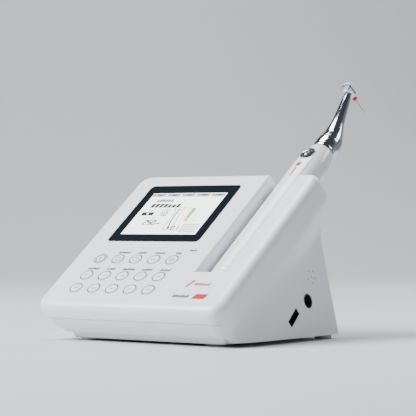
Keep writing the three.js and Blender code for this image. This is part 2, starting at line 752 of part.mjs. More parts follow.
// The head: its axis is local Z of the head frame, with the cap up and the file down.
{
  const casing = standUp(
    turned(
      [
        [2.1, -6.1], [3.3, -6.1], [HEAD_R, -5.2], [HEAD_R, 3.4], [3.9, 3.4], [3.9, -4.9],
        [2.1, -4.9],
      ],
      32,
    ),
  );
  const shaftHole = turned([[0, -8], [1.8, -8], [1.8, -3], [0, -3]], 16);
  piece(headFrame, "head_housing", casing.subtract(shaftHole), CHROME);
}
piece(
  headFrame,
  "push_cap",
  standUp(
    turned([
      [0, 2.4], [3.5, 2.4], [3.5, 3.9], [4.7, 3.9], [4.7, 5.4], [4.3, 6.1], [3.4, 6.5], [0, 6.6],
    ]),
  ),
  CHROME,
);
piece(
  headFrame,
  "head_bearing",
  standUp(turned([[2.1, -4.6], [3.6, -4.6], [3.6, -3.4], [2.1, -3.4]], 24)),
  STEEL,
);
piece(
  headFrame,
  "chuck",
  join(
    standUp(
      turned([
        [1.35, -6.5], [1.8, -6.5], [1.8, -3.1], [3.5, -3.1], [3.5, -1.8], [1.8, -1.8],
        [1.8, 1.6], [1.35, 1.6],
      ]),
    ),
    standUp(toothRing(crownTeeth, 2.4, 3.5, -1.9, -1.2, toothShare, 0.5)),
  ),
  STEEL,
);
const file = { shank: 1.05, handle: 1.3, tip: -33.5 };
piece(
  headFrame,
  "rotary_file",
  standUp(
    turned(
      [
        [0, file.tip], [0.14, file.tip + 0.5], [0.52, -17], [0.52, -9.1], [file.handle, -9.1],
        [file.handle, -6.9], [file.shank, -6.8], [file.shank, 1.2], [0, 1.2],
      ],
      16,
    ),
  ),
  GOLD,
);
piece(
  headFrame,
  "file_stopper",
  standUp(
    turned(
      [[0.85, -11.9], [2.2, -11.9], [2.5, -11.5], [2.5, -10.7], [2.2, -10.3], [0.85, -10.3]],
      20,
    ),
  ),
  RED,
);

// ---------------------------------------------------------------- the whole object
const object = new THREE.Group();
object.add(console_, panelFrame);
object.updateMatrixWorld(true);
const whole = new THREE.Box3().setFromObject(object, true);
const middle = whole.getCenter(new THREE.Vector3());
object.position.set(-middle.x, -middle.y, -whole.min.z); // origin under the middle of the whole

export default object;
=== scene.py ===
# %% Load the frame
import json
import math
import random

import bmesh
import bpy
from mathutils import Matrix, Vector


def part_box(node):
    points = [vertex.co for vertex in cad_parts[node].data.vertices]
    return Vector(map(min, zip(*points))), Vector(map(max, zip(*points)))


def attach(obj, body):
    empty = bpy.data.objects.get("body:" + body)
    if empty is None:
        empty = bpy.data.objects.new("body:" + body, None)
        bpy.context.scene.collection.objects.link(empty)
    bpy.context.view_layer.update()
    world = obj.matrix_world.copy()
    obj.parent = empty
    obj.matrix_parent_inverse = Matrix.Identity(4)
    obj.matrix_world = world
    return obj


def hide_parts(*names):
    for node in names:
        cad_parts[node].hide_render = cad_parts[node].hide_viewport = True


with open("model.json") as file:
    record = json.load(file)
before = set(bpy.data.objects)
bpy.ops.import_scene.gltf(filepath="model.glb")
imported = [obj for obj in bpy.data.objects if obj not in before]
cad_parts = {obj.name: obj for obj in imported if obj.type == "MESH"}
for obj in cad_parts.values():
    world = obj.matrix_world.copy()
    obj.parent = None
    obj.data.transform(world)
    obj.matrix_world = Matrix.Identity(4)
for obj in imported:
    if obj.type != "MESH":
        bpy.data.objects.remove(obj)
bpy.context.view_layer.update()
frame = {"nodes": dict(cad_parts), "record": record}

random.seed(7)
print(len(frame["nodes"]), "nodes in the frame")

# %% [markdown]
# # A desktop endodontic motor
# A sloped console holds a screen, fifteen keys and a cradle. A cordless handpiece with an angled
# chrome head lies in the cradle. Everything is modelled in metres, +Z up, and the operator sits
# towards -Y.
#
# The console and the handpiece are both easiest to describe in tilted frames, so the driving
# dimensions come first and the frames follow from them.

# %% Driving dimensions, in metres
GAP = 0.0003  # between separate pieces
WALL = 0.0024  # moulded wall
SLOPE = math.radians(36.5)  # control panel above the horizontal
PANEL_FRONT_Z = 0.035
PANEL_START = -0.0065  # the panel's front edge, along the slope
PANEL_LENGTH = 0.177  # and its back edge
TOP_WIDTH = 0.188
BODY_WIDTH = 0.196
BODY_DEPTH = 0.163
EDGE_FILLET = 0.0032  # round-over between the panel and the flanks
SIDE_FILLET = 0.0088  # the wider round-over along the right-hand edge
FRONT_FILLET = 0.0065  # and along the front
FILLET_FADE = 0.016  # over which they widen

HULL_BOTTOM_Z = 0.007
PILLAR_BOTTOM_Z = 0.0036
PILLAR_X = 0.184
HULL_INSET = 0.026
HULL_START_Z = 0.026
HULL_TUCK_HEIGHT = 0.022
HULL_FRONT_Y = 0.0155
PARTING_Z = 0.0185
CHIN_BULGE = 0.005
FLANK_LEAN = 0.185  # how much the right flank comes in for each metre up
FLANK_TURN = (0.022, 0.056)  # below the panel, where it turns out again to the panel's edge
LEFT_SCOOP = 0.0048
SCOOP_DEPTH = 0.048  # how far the left flank's hollow lies below the panel
SCOOP_SPREAD = 0.020
BACK_KINK_Y = 0.1585
BACK_KINK_Z = 0.124
KINK_SHARE = 0.2  # how far down the back wall its kink comes
BLEND = 0.013  # how far from an edge its flank's shape fades in
RIGHT_BLEND = 0.030  # and from the right-hand edge, whose hollow is deeper

AXIS_X = 0.153
AXIS_DROP = 0.0198  # handpiece axis below the panel
HANDPIECE_R = 0.0146
BEND_Y = 0.256  # where the neck bends, along the handpiece axis
BEND = math.radians(20)
HEAD_REACH = 0.056  # from the bend to the head's axis
HEAD_R = 0.0045

SCREEN_X = (0.019, 0.1174)
SCREEN_S = (0.0796, 0.1617)
SCREEN_CORNER = 0.0045
LCD_X = (0.0279, 0.1079)
LCD_S = (0.0902, 0.1502)
KEY_R = 0.0064
KEY_X0 = 0.029
KEY_PITCH = 0.0191
KEY_ROWS = (0.0548, 0.0321, 0.0149)
KEY_TOP = 0.0004  # key tops above the panel
INK = 0.00004  # height of printed marks above what they're printed on

# %% [markdown]
# ## Frames
# The panel frame has x across the panel, y up the slope (called s below) and z out of it.
# The handpiece frame lies below it, and the neck, head and button frames hang from that one.
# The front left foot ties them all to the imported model.

# %% Build the frames
foot_low, foot_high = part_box("foot_front_left")
FOOT_X = 0.034  # the front left foot's place in the console's own plan
FOOT_Y = 0.025
CORNER = Vector(
    (
        (foot_low[0] + foot_high[0]) / 2 - FOOT_X,
        (foot_low[1] + foot_high[1]) / 2 - FOOT_Y,
        0,
    )
)
PLAN = Matrix.Translation(CORNER)
PANEL = PLAN @ Matrix.Translation((0, 0, PANEL_FRONT_Z)) @ Matrix.Rotation(SLOPE, 4, "X")
HANDPIECE = PANEL @ Matrix.Translation((AXIS_X, 0, -AXIS_DROP))
NECK = HANDPIECE @ Matrix.Translation((0, BEND_Y, 0)) @ Matrix.Rotation(BEND, 4, "X")
HEAD = NECK @ Matrix.Translation((0, HEAD_REACH, 0))
BUTTON = (
    HANDPIECE @ Matrix.Translation((0, 0.217, 0.0143)) @ Matrix.Rotation(math.radians(-5), 4, "X")
)
print("console corner at", [round(v, 4) for v in CORNER])

# %% [markdown]
# ## Surfaces
# Every material shares one node group. It takes a plain colour and a roughness and puts out a
# slightly mottled colour, a smudged roughness and a fine height for a bump. The Principled
# shader stays in each material.

# %% The shared surface group
def add_node(tree, kind, inputs, **settings):
    """Adds a node, with its settings, and gives each input a value or a link."""
    node = tree.nodes.new("ShaderNode" + kind)
    for setting, value in settings.items():
        setattr(node, setting, value)
    for name, value in inputs.items():
        if isinstance(value, bpy.types.NodeSocket):
            tree.links.new(value, node.inputs[name])
        else:
            node.inputs[name].default_value = value
    return node


SURFACE_INPUTS = (
    ("Color", "NodeSocketColor", (0.8, 0.8, 0.8, 1)),
    ("Tint", "NodeSocketColor", (0.7, 0.7, 0.7, 1)),
    ("Mottle", "NodeSocketFloat", 0.1),
    ("Roughness", "NodeSocketFloat", 0.3),
    ("Smudge", "NodeSocketFloat", 0.1),
    ("Stretch", "NodeSocketVector", (1, 1, 1)),
)
SURFACE_OUTPUTS = (
    ("Color", "NodeSocketColor"),
    ("Roughness", "NodeSocketFloat"),
    ("Height", "NodeSocketFloat"),
)
CLOUDS = 38  # noise scales, in bumps per metre or so
SMEARS = 95
GRAIN = 2600


def make_surface_group():
    group = bpy.data.node_groups.new("worked surface", "ShaderNodeTree")
    for name, kind, default in SURFACE_INPUTS:
        socket = group.interface.new_socket(name=name, in_out="INPUT", socket_type=kind)
        socket.default_value = default
    for name, kind in SURFACE_OUTPUTS:
        group.interface.new_socket(name=name, in_out="OUTPUT", socket_type=kind)
    given = group.nodes.new("NodeGroupInput").outputs
    result = group.nodes.new("NodeGroupOutput").inputs
    place = group.nodes.new("ShaderNodeTexCoord").outputs["Object"]
    stretched = add_node(
        group, "VectorMath", {0: place, 1: given["Stretch"]}, operation="MULTIPLY"
    ).outputs[0]

    def noise(scale, detail):
        inputs = {"Scale": scale, "Detail": detail, "Vector": stretched}
        return add_node(group, "TexNoise", inputs).outputs["Fac"]

    mottle = {0: noise(CLOUDS, 4), 1: given["Mottle"]}
    amount = add_node(group, "Math", mottle, operation="MULTIPLY").outputs[0]
    colors = {"Factor": amount, "A": given["Color"], "B": given["Tint"]}
    blend = add_node(group, "Mix", colors, data_type="RGBA")
    group.links.new(blend.outputs["Result"], result["Color"])

    centred = add_node(group, "Math", {0: noise(SMEARS, 6), 1: 0.5}, operation="SUBTRACT")
    smudge = {0: centred.outputs[0], 1: given["Smudge"], 2: given["Roughness"]}
    spread = add_node(group, "Math", smudge, operation="MULTIPLY_ADD")
    group.links.new(spread.outputs[0], result["Roughness"])
    group.links.new(noise(GRAIN, 3), result["Height"])
    return group


SURFACE = make_surface_group()
print("surface group has", len(SURFACE.nodes), "nodes")

# %% Materials
def make_material(
    name,
    color,
    roughness,
    tint=None,
    mottle=0.25,
    smudge=0.08,
    stretch=(1, 1, 1),
    grain=0.02,
    metallic=0.0,
    coat=0.0,
    glow=0.0,
):
    material = bpy.data.materials.new(name)
    material.use_nodes = True
    tree = material.node_tree
    shader = tree.nodes["Principled BSDF"].inputs
    shader["Metallic"].default_value = metallic
    shader["Coat Weight"].default_value = coat
    shader["Coat Roughness"].default_value = 0.04
    surface = tree.nodes.new("ShaderNodeGroup")
    surface.node_tree = SURFACE
    dark = tint or [0.86 * c for c in color]
    given = {
        "Color": (*color, 1),
        "Tint": (*dark, 1),
        "Mottle": mottle,
        "Roughness": roughness,
        "Smudge": smudge,
        "Stretch": stretch,
    }
    for socket, value in given.items():
        surface.inputs[socket].default_value = value
    tree.links.new(surface.outputs["Color"], shader["Base Color"])
    tree.links.new(surface.outputs["Roughness"], shader["Roughness"])
    height = {"Strength": grain, "Distance": 0.0002, "Height": surface.outputs["Height"]}
    bump = add_node(tree, "Bump", height)
    tree.links.new(bump.outputs["Normal"], shader["Normal"])
    if glow:
        tree.links.new(surface.outputs["Color"], shader["Emission Color"])
        shader["Emission Strength"].default_value = glow
    return material


WHITE = make_material("white plastic", (0.86, 0.875, 0.905), 0.3, mottle=0.1, smudge=0.05, coat=0.15)
KEY_WHITE = make_material("key plastic", (0.87, 0.88, 0.905), 0.38, mottle=0.15, grain=0.05)
CASING_WHITE = make_material(
    "handpiece plastic", (0.86, 0.875, 0.9), 0.22, mottle=0.1, smudge=0.06, coat=0.3
)
GLASS = make_material("window glass", (0.006, 0.009, 0.014), 0.07, smudge=0.06, coat=1.0)
BLACK = make_material("black gloss", (0.008, 0.008, 0.01), 0.4, smudge=0.1)
DULL = make_material("dull black", (0.02, 0.02, 0.022), 0.5, smudge=0.2, grain=0.2)
RUBBER = make_material("grey rubber", (0.55, 0.56, 0.58), 0.55, smudge=0.2, grain=0.3)
RED_RUBBER = make_material("red silicone", (0.62, 0.02, 0.03), 0.45, smudge=0.2)
CHROME = make_material("chrome", (0.78, 0.81, 0.86), 0.13, mottle=0.15, smudge=0.07, metallic=1.0)
CAP_STEEL = make_material("cap steel", (0.13, 0.17, 0.23), 0.4, smudge=0.15, metallic=1.0)
STEEL = make_material(
    "turned steel", (0.6, 0.61, 0.63), 0.3, smudge=0.25, stretch=(6, 1, 6), metallic=1.0
)
FILE_ALLOY = make_material(
    "file alloy", (0.36, 0.3, 0.16), 0.3, tint=(0.24, 0.27, 0.2), mottle=0.6, metallic=1.0
)
BRASS = make_material("gold plating", (0.78, 0.58, 0.26), 0.25, smudge=0.15, metallic=1.0)
BOARD = make_material("circuit board", (0.03, 0.16, 0.07), 0.4, tint=(0.1, 0.3, 0.12), mottle=0.8)
SLEEVE = make_material("battery sleeve", (0.05, 0.13, 0.36), 0.3, smudge=0.15)
AMBER = make_material("amber lens", (0.5, 0.33, 0.16), 0.2, coat=0.6, glow=0.1)
LIT = make_material("lit display", (0.93, 0.95, 0.94), 0.3, mottle=0.06, coat=0.6, glow=1.9)

# %% Inks
def make_ink(name, color, glow=0.0):
    return make_material(name, color, 0.4, mottle=0.4, smudge=0.15, grain=0.01, glow=glow)


INK_DARK = make_ink("dark ink", (0.012, 0.012, 0.016))
INK_ORANGE = make_ink("orange ink", (0.55, 0.2, 0.03))
INK_RED = make_ink("red ink", (0.45, 0.008, 0.008))
SHOWN_DARK = make_ink("shown dark", (0.01, 0.01, 0.012))
SHOWN_GREY = make_ink("shown grey", (0.4, 0.42, 0.45))
SHOWN_GREEN = make_ink("shown green", (0.02, 0.36, 0.1), 0.05)
SHOWN_ORANGE = make_ink("shown orange", (0.85, 0.36, 0.01), 0.15)
SHOWN_TAN = make_ink("shown tan", (0.6, 0.42, 0.26))
SHOWN_PALE = make_ink("shown pale green", (0.62, 0.78, 0.62), 0.2)
print(len(bpy.data.materials), "materials")

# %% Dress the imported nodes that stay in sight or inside
SLOT_MATERIALS = {
    "housing_white": WHITE,
    "key_white": KEY_WHITE,
    "rubber_grey": RUBBER,
    "steel": STEEL,
    "board_green": BOARD,
    "black_plastic": DULL,
    "chrome": CHROME,
    "gold_metal": BRASS,
    "screen_glass": GLASS,
    "display": LIT,
    "lamp_amber": AMBER,
    "silicone_red": RED_RUBBER,
    "battery_blue": SLEEVE,
}
SLOT_OF = {part["node"]: part["material_slot"] for part in frame["record"]["subparts"]}
for node_name, node in frame["nodes"].items():
    node.data.materials.clear()
    node.data.materials.append(SLOT_MATERIALS[SLOT_OF[node_name]])
print("dressed", len(SLOT_OF), "nodes")

# %% [markdown]
# ## Tools for making pieces
# A piece is built in a bmesh, moved into place by its frame and turned into an object that sits
# at the origin. `lathe` spins a profile, `prism` raises an outline and `carve` cuts one piece
# with another.

# %% From a bmesh to a piece
def new_piece(name, bm, materials, closed=True, sharp=32):
    if closed:
        bmesh.ops.remove_doubles(bm, verts=bm.verts, dist=1e-7)
        bmesh.ops.recalc_face_normals(bm, faces=bm.faces)
    name = name.replace(" ", "_")
    mesh = bpy.data.meshes.new(name)
    bm.to_mesh(mesh)
    bm.free()
    for material in materials:
        mesh.materials.append(material)
    mesh.shade_smooth()
    mesh.set_sharp_from_angle(angle=math.radians(sharp))
    piece = bpy.data.objects.new(name, mesh)
    bpy.context.scene.collection.objects.link(piece)
    return piece


def seat(piece, body, nodes=()):
    """Puts a piece on its body, in place of the nodes that it stands for."""
    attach(piece, body)
    if nodes:
        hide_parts(*nodes)
    return piece


def soften(piece, width, segments=2, angle=32):
    """Rounds a piece's sharp edges."""
    bevel = piece.modifiers.new("rounded edges", "BEVEL")
    bevel.width = width
    bevel.segments = segments
    bevel.limit_method = "ANGLE"
    bevel.angle_limit = math.radians(angle)
    bevel.use_clamp_overlap = True
    bevel.miter_outer = "MITER_ARC"
    weighted = piece.modifiers.new("even shading", "WEIGHTED_NORMAL")
    weighted.keep_sharp = True
    return piece


# %% Carving one piece with another
def carve(piece, tool, operation="DIFFERENCE", keep_tool=False):
    cut = piece.modifiers.new("cut", "BOOLEAN")
    cut.operation = operation
    cut.solver = "EXACT"
    cut.object = tool
    state = bpy.context.evaluated_depsgraph_get()
    made = bpy.data.meshes.new_from_object(piece.evaluated_get(state))
    piece.modifiers.clear()
    old = piece.data
    piece.data = made
    bpy.data.meshes.remove(old)
    made.name = piece.name
    made.set_sharp_from_angle(angle=math.radians(32))
    if not keep_tool:
        bpy.data.objects.remove(tool)
    return piece


# %% Profiles, lathes and prisms
def rounded(points, radii, steps=5):
    """An open profile with its corners rounded: radii holds one radius for each point."""
    result = []
    last = len(points) - 1
    for i, (point, radius) in enumerate(zip(points, radii)):
        here = Vector(point)
        if i in (0, last) or radius == 0:
            result.append(here)
            continue
        before = (Vector(points[i - 1]) - here).normalized()
        after = (Vector(points[i + 1]) - here).normalized()
        half = before.angle(after) / 2
        reach = radius / math.tan(half)
        start = here + before * reach
        end = here + after * reach
        for k in range(steps + 1):
            t = k / steps
            result.append((1 - t) ** 2 * start + 2 * t * (1 - t) * here + t * t * end)
    return [(p[0], p[1]) for p in result]


def lathe_mesh(profile, place, steps=64, upright=False):
    """Spins (radius, height) points about local Y, or about local Z if upright."""
    bm = bmesh.new()
    axis = Vector((0, 0, 1)) if upright else Vector((0, 1, 0))
    points = [(r, 0, h) if upright else (r, h, 0) for r, h in profile]
    verts = [bm.verts.new(p) for p in points]
    for a, b in zip(verts, verts[1:]):
        bm.edges.new((a, b))
    bmesh.ops.spin(
        bm,
        geom=bm.verts[:] + bm.edges[:],
        cent=(0, 0, 0),
        axis=axis,
        angle=2 * math.pi,
        steps=steps,
        use_merge=True,
    )
    bmesh.ops.remove_doubles(bm, verts=bm.verts, dist=1e-7)
    bmesh.ops.transform(bm, matrix=place, verts=bm.verts)
    return bm


def lathe(name, profile, material, place, steps=64, upright=False):
    return new_piece(name, lathe_mesh(profile, place, steps, upright), [material])


def turned(name, points, radii, material, place, steps=64):
    """A profile with rounded corners, spun about the frame's upright axis."""
    return lathe(name, rounded(points, radii), material, place, steps, upright=True)


def arc_points(x, y, r, quarter, steps=8):
    """A quarter circle: quarter 0 starts at +x and runs anticlockwise."""
    angles = [(quarter + k / steps) * math.pi / 2 for k in range(steps + 1)]
    return [(x + r * math.cos(a), y + r * math.sin(a)) for a in angles]


def rounded_rect(x0, y0, x1, y1, r, steps=8):
    return (
        arc_points(x1 - r, y0 + r, r, 3, steps)
        + arc_points(x1 - r, y1 - r, r, 0, steps)
        + arc_points(x0 + r, y1 - r, r, 1, steps)
        + arc_points(x0 + r, y0 + r, r, 2, steps)
    )


def circle(x, y, r, steps=48):
    turns = [2 * math.pi * k / steps for k in range(steps)]
    return [(x + r * math.cos(a), y + r * math.sin(a)) for a in turns]


def add_prism(bm, outline, low, high, place):
    """A closed block: outline lies in the frame's x-y plane and is raised from low to high."""
    base = [bm.verts.new(place @ Vector((x, y, low))) for x, y in outline]
    top = [bm.verts.new(place @ Vector((x, y, high))) for x, y in outline]
    bm.faces.new(list(reversed(base)))
    bm.faces.new(top)
    count = len(outline)
    for i in range(count):
        j = (i + 1) % count
        bm.faces.new((base[i], base[j], top[j], top[i]))


def prism(name, outline, low, high, material, place):
    bm = bmesh.new()
    add_prism(bm, outline, low, high, place)
    return new_piece(name, bm, [material])


def block(name, low, high, material=None, place=PLAN):
    outline = [(low[0], low[1]), (high[0], low[1]), (high[0], high[1]), (low[0], high[1])]
    return prism(name, outline, low[2], high[2], material or WHITE, place)


print("tools ready")

# %% [markdown]
# ## The console's form
# Seen square to the panel, the console is a rounded rectangle. Each point of that outline walks
# down the wall to the floor. On the way the front swells into a chin and the left side tucks
# under like a hull. The right side turns in below the panel and then spreads towards the floor,
# and the back drops from a short end face to a plain wall.

# %% Outline of the console
def lerp(a, b, t):
    return a + (b - a) * t


def clamp(value, low=0.0, high=1.0):
    return min(max(value, low), high)


def between(a, b, step=0.004):
    """Points along a straight edge, without its ends."""
    count = max(int((Vector(b) - Vector(a)).length / step), 2)
    return [tuple(Vector(a).lerp(Vector(b), k / count)) for k in range(1, count)]


FRONT_RIGHT_R = 0.014
BACK_RIGHT_R = 0.007
BACK_LEFT_R = 0.013
FRONT_LEFT_R = 0.010


def console_outline(inset):
    right = TOP_WIDTH - inset
    back = PANEL_LENGTH - inset
    front = PANEL_START + inset
    front_right = PANEL_START + FRONT_RIGHT_R
    front_left = PANEL_START + FRONT_LEFT_R
    back_right = PANEL_LENGTH - BACK_RIGHT_R
    back_left = PANEL_LENGTH - BACK_LEFT_R
    corners = [
        arc_points(TOP_WIDTH - FRONT_RIGHT_R, front_right, FRONT_RIGHT_R - inset, 3, 10),
        arc_points(TOP_WIDTH - BACK_RIGHT_R, back_right, BACK_RIGHT_R - inset, 0, 10),
        arc_points(BACK_LEFT_R, back_left, BACK_LEFT_R - inset, 1, 10),
        arc_points(FRONT_LEFT_R, front_left, FRONT_LEFT_R - inset, 2, 10),
    ]
    edges = [
        ((right, front_right), (right, back_right)),
        ((TOP_WIDTH - BACK_RIGHT_R, back), (BACK_LEFT_R, back)),
        ((inset, back_left), (inset, front_left)),
        ((FRONT_LEFT_R, front), (TOP_WIDTH - FRONT_RIGHT_R, front)),
    ]
    points = []
    for corner, edge in zip(corners, edges):
        points += corner + between(*edge)
    return points


print(len(console_outline(0)), "points round the console")

# %% From the outline down the wall
def foot_across(x):
    """Where a point x across the panel comes down on the floor."""
    return lerp(HULL_INSET, BODY_WIDTH, x / TOP_WIDTH)


def console_point(x, s, drop, inset):
    """Carries an outline point down the wall by a share, drop, from 0 to 1."""
    sin = math.sin(SLOPE)
    cos = math.cos(SLOPE)
    left, front, back = (
        clamp(1 - (distance - inset) / BLEND)
        for distance in (x, s - PANEL_START, PANEL_LENGTH - s)
    )
    edge = TOP_WIDTH - inset
    right = clamp(1 - (edge - x) / RIGHT_BLEND)
    edge_x = lerp(edge, foot_across(edge), drop)
    floor = PILLAR_BOTTOM_Z + inset
    foot_x = foot_across(x)
    foot_y = lerp(HULL_FRONT_Y, BODY_DEPTH, (s - PANEL_START) / (PANEL_LENGTH - PANEL_START))
    top_y = s * cos + inset * sin
    top_z = PANEL_FRONT_Z + s * sin - inset * cos
    x = lerp(x, foot_x, drop)
    y = lerp(top_y, foot_y, drop)
    z = lerp(top_z, floor, drop)

    chin = front * CHIN_BULGE * max(math.sin(math.pi * drop), 0) ** 0.8
    y -= chin * cos
    z -= chin * sin

    kink_y = BACK_KINK_Y - inset
    if drop < KINK_SHARE:
        back_y = lerp(top_y, kink_y, drop / KINK_SHARE)
        back_z = lerp(top_z, BACK_KINK_Z, drop / KINK_SHARE)
    else:
        share = (drop - KINK_SHARE) / (1 - KINK_SHARE)
        back_y = lerp(kink_y, BODY_DEPTH - inset, share)
        back_z = lerp(BACK_KINK_Z, floor, share)
    y = lerp(y, back_y, back)
    z = lerp(z, back_z, back)

    tucked = clamp((HULL_START_Z - z) / HULL_TUCK_HEIGHT) ** 2.2 * HULL_INSET
    depth = (PANEL_FRONT_Z + y * math.tan(SLOPE) - z) * cos
    scoop = math.exp(-(((depth - SCOOP_DEPTH) / SCOOP_SPREAD) ** 2))
    left_x = max(tucked, LEFT_SCOOP * scoop * (1 - front)) + inset
    turned = clamp((depth - FLANK_TURN[0]) / (FLANK_TURN[1] - FLANK_TURN[0]))
    turned = turned * turned * (3 - 2 * turned)
    right_x = lerp(TOP_WIDTH, BODY_WIDTH - FLANK_LEAN * z, turned) - inset
    x = lerp(x, left_x, left)
    x += right * (right_x - edge_x)
    return PLAN @ Vector((x, y, z))


# %% Rings of the wall
def stack_rings(rings):
    """Closes a stack of rings, each a list of points, into a solid."""
    bm = bmesh.new()
    levels = [[bm.verts.new(p) for p in ring] for ring in rings]
    count = len(levels[0])
    for upper, lower in zip(levels, levels[1:]):
        for i in range(count):
            j = (i + 1) % count
            bm.faces.new((upper[i], upper[j], lower[j], lower[i]))
    bm.faces.new(levels[0])
    bm.faces.new(list(reversed(levels[-1])))
    return bm


def drop_at(x, s, distance):
    """How far down the wall, as a share, a point lies at this distance from the top edge."""
    edge = console_point(x, s, 0, 0)
    drop = 0.0
    while (console_point(x, s, drop, 0) - edge).length < distance:
        drop += 0.001
    return drop


def fillets_at(x, s):
    """How far the round-over reaches in from the side and from the front."""
    side = clamp(1 - (TOP_WIDTH - x) / FILLET_FADE) ** 2
    front = clamp(1 - (s - PANEL_START) / FILLET_FADE) ** 2
    return lerp(EDGE_FILLET, SIDE_FILLET, side), lerp(EDGE_FILLET, FRONT_FILLET, front)


def outer_form(name, rows=44, round_steps=10):
    """The console's outside, with its top edge rounded over."""
    outline = console_outline(0)
    inner = console_outline(EDGE_FILLET)
    reaches = [fillets_at(x, s) for x, s in outline]
    starts = [drop_at(x, s, max(reach)) for (x, s), reach in zip(outline, reaches)]
    rings = []
    for k in range(round_steps):
        t = k / round_steps
        ring = []
        for (x, s), (x_in, s_in), (side, front), start in zip(outline, inner, reaches, starts):
            on_top = PANEL @ Vector((x_in + EDGE_FILLET - side, s_in - EDGE_FILLET + front, 0))
            edge = console_point(x, s, 0, 0)
            on_wall = console_point(x, s, start, 0)
            ring.append((1 - t) ** 2 * on_top + 2 * t * (1 - t) * edge + t * t * on_wall)
        rings.append(ring)
    for k in range(rows + 1):
        ring = [
            console_point(x, s, lerp(start, 1, k / rows), 0)
            for (x, s), start in zip(outline, starts)
        ]
        rings.append(ring)
    return new_piece(name, stack_rings(rings), [WHITE])


def inner_form(name, inset=WALL, rows=20, chamfer=0.004):
    """The console's inside; its top edge is cut back to follow the round-over."""
    rings = [[PANEL @ Vector((x, s, -inset)) for x, s in console_outline(inset + chamfer)]]
    outline = console_outline(inset)
    for k in range(1, rows + 1):
        rings.append([console_point(x, s, k / rows, inset) for x, s in outline])
    form = new_piece(name, stack_rings(rings), [WHITE])
    step = block("step", (-1, -1, -1), (PILLAR_X + WALL, 1, HULL_BOTTOM_Z + WALL))
    return carve(form, step)


# %% The cradle's channel
CRADLE_START = 0.040
CRADLE_TOP_HALF = 0.016
CRADLE_R = 0.0152
CRADLE_WALL = 0.002
CRADLE_END = PANEL_LENGTH + 0.030
# The channel's own frame: x across, y out of the panel, z down the slope from its open end.
CHANNEL = PANEL @ Matrix.Translation((AXIS_X, 0, 0)) @ Matrix.Rotation(math.pi / 2, 4, "X")


def channel(name, grow, top, start, steps=28):
    r = CRADLE_R + grow
    half = CRADLE_TOP_HALF + grow
    turns = [-math.pi * k / steps for k in range(steps + 1)]
    bottom = [(r * math.cos(a), -AXIS_DROP + r * math.sin(a)) for a in turns]
    outline = [(half, top)] + bottom + [(-half, top)]
    return prism(name, outline, -CRADLE_END, -start, WHITE, CHANNEL)


def channel_inside():
    return channel("channel inside", 0, 0.003, CRADLE_START)


def channel_outside(grow):
    start = CRADLE_START - CRADLE_WALL - grow
    return channel("channel outside", CRADLE_WALL + grow, -WALL - GAP, start)


# %% [markdown]
# ## Housings
# The outside form minus the inside form leaves a shell. A box under the parting line splits it
# into the upper housing, which keeps the right-hand pillar, and the lower hull.

# %% Openings in the panel
KEY_NAMES = (
    ("power", "auto_reverse", "direction", "apex", "set"),
    ("system_up", "file_up", "torque_up", "speed_up", "angle_up"),
    ("system_down", "file_down", "torque_down", "speed_down", "angle_down"),
)
KEYS = [
    (name, KEY_X0 + i * KEY_PITCH, s)
    for row, s in zip(KEY_NAMES, KEY_ROWS)
    for i, name in enumerate(row)
]
LAMP = (0.1218, 0.068)
LAMP_R = 0.0013
WINDOW_THICKNESS = 0.0016
HOLE_DEPTH = 0.004  # right through the wall
CLEAR = 0.002  # how far a cutting tool stands out of what it cuts


def key_holes():
    bm = bmesh.new()
    for _, x, s in KEYS:
        add_prism(bm, circle(x, s, KEY_R + GAP), -HOLE_DEPTH, CLEAR, PANEL)
    add_prism(bm, circle(*LAMP, LAMP_R + GAP, 24), -HOLE_DEPTH, CLEAR, PANEL)
    return new_piece("key holes", bm, [WHITE])


def window_pocket():
    outline = rounded_rect(SCREEN_X[0], SCREEN_S[0], SCREEN_X[1], SCREEN_S[1], SCREEN_CORNER)
    return prism("pocket", outline, -WINDOW_THICKNESS - GAP, CLEAR, WHITE, PANEL)


def display_hole():
    margin = 0.004
    low = (LCD_X[0] - margin, LCD_S[0] - margin, -0.006)
    high = (LCD_X[1] + margin, LCD_S[1] + margin, CLEAR)
    return block("display hole", low, high, WHITE, PANEL)


# %% Openings in the right flank
POWER_Y = 0.121
POWER_Z = 0.033
POWER_HOLE_R = 0.0063
LEAD_Y = 0.0957
LEAD_Z = 0.0202
LEAD_LENGTH = 0.0182
LEAD_HEIGHT = 0.0066
SPEAKER_Y = 0.132
SPEAKER_Z = 0.053
SPEAKER_RING = 0.0055
SPEAKER_HOLE_R = 0.0009
# The flank's frame: x towards the back, y up, z out to the right.
FLANK = PLAN @ Matrix(((0, 0, 1, 0), (1, 0, 0, 0), (0, 1, 0, 0), (0, 0, 0, 1)))


def lead_outline(length, height, corner=0.0007):
    flat = rounded_rect(-length / 2, -height / 2, length / 2, height / 2, corner, 4)
    turn = Matrix.Rotation(SLOPE, 2)
    turned = [turn @ Vector(p) for p in flat]
    return [(LEAD_Y + p.x, LEAD_Z + p.y) for p in turned]


def speaker_spots():
    spots = [(SPEAKER_Y, SPEAKER_Z)]
    for k in range(5):
        angle = math.pi / 2 + (k + 0.5) * 2 * math.pi / 5
        y = SPEAKER_Y + SPEAKER_RING * math.cos(angle)
        spots.append((y, SPEAKER_Z + SPEAKER_RING * math.sin(angle)))
    return spots


def flank_holes():
    inside = 0.180
    outside = 0.2
    bm = bmesh.new()
    add_prism(bm, circle(POWER_Y, POWER_Z, POWER_HOLE_R), inside, outside, FLANK)
    add_prism(bm, lead_outline(LEAD_LENGTH, LEAD_HEIGHT), inside, outside, FLANK)
    for y, z in speaker_spots():
        add_prism(bm, circle(y, z, SPEAKER_HOLE_R, 16), inside - 0.005, outside, FLANK)
    return new_piece("flank holes", bm, [WHITE])


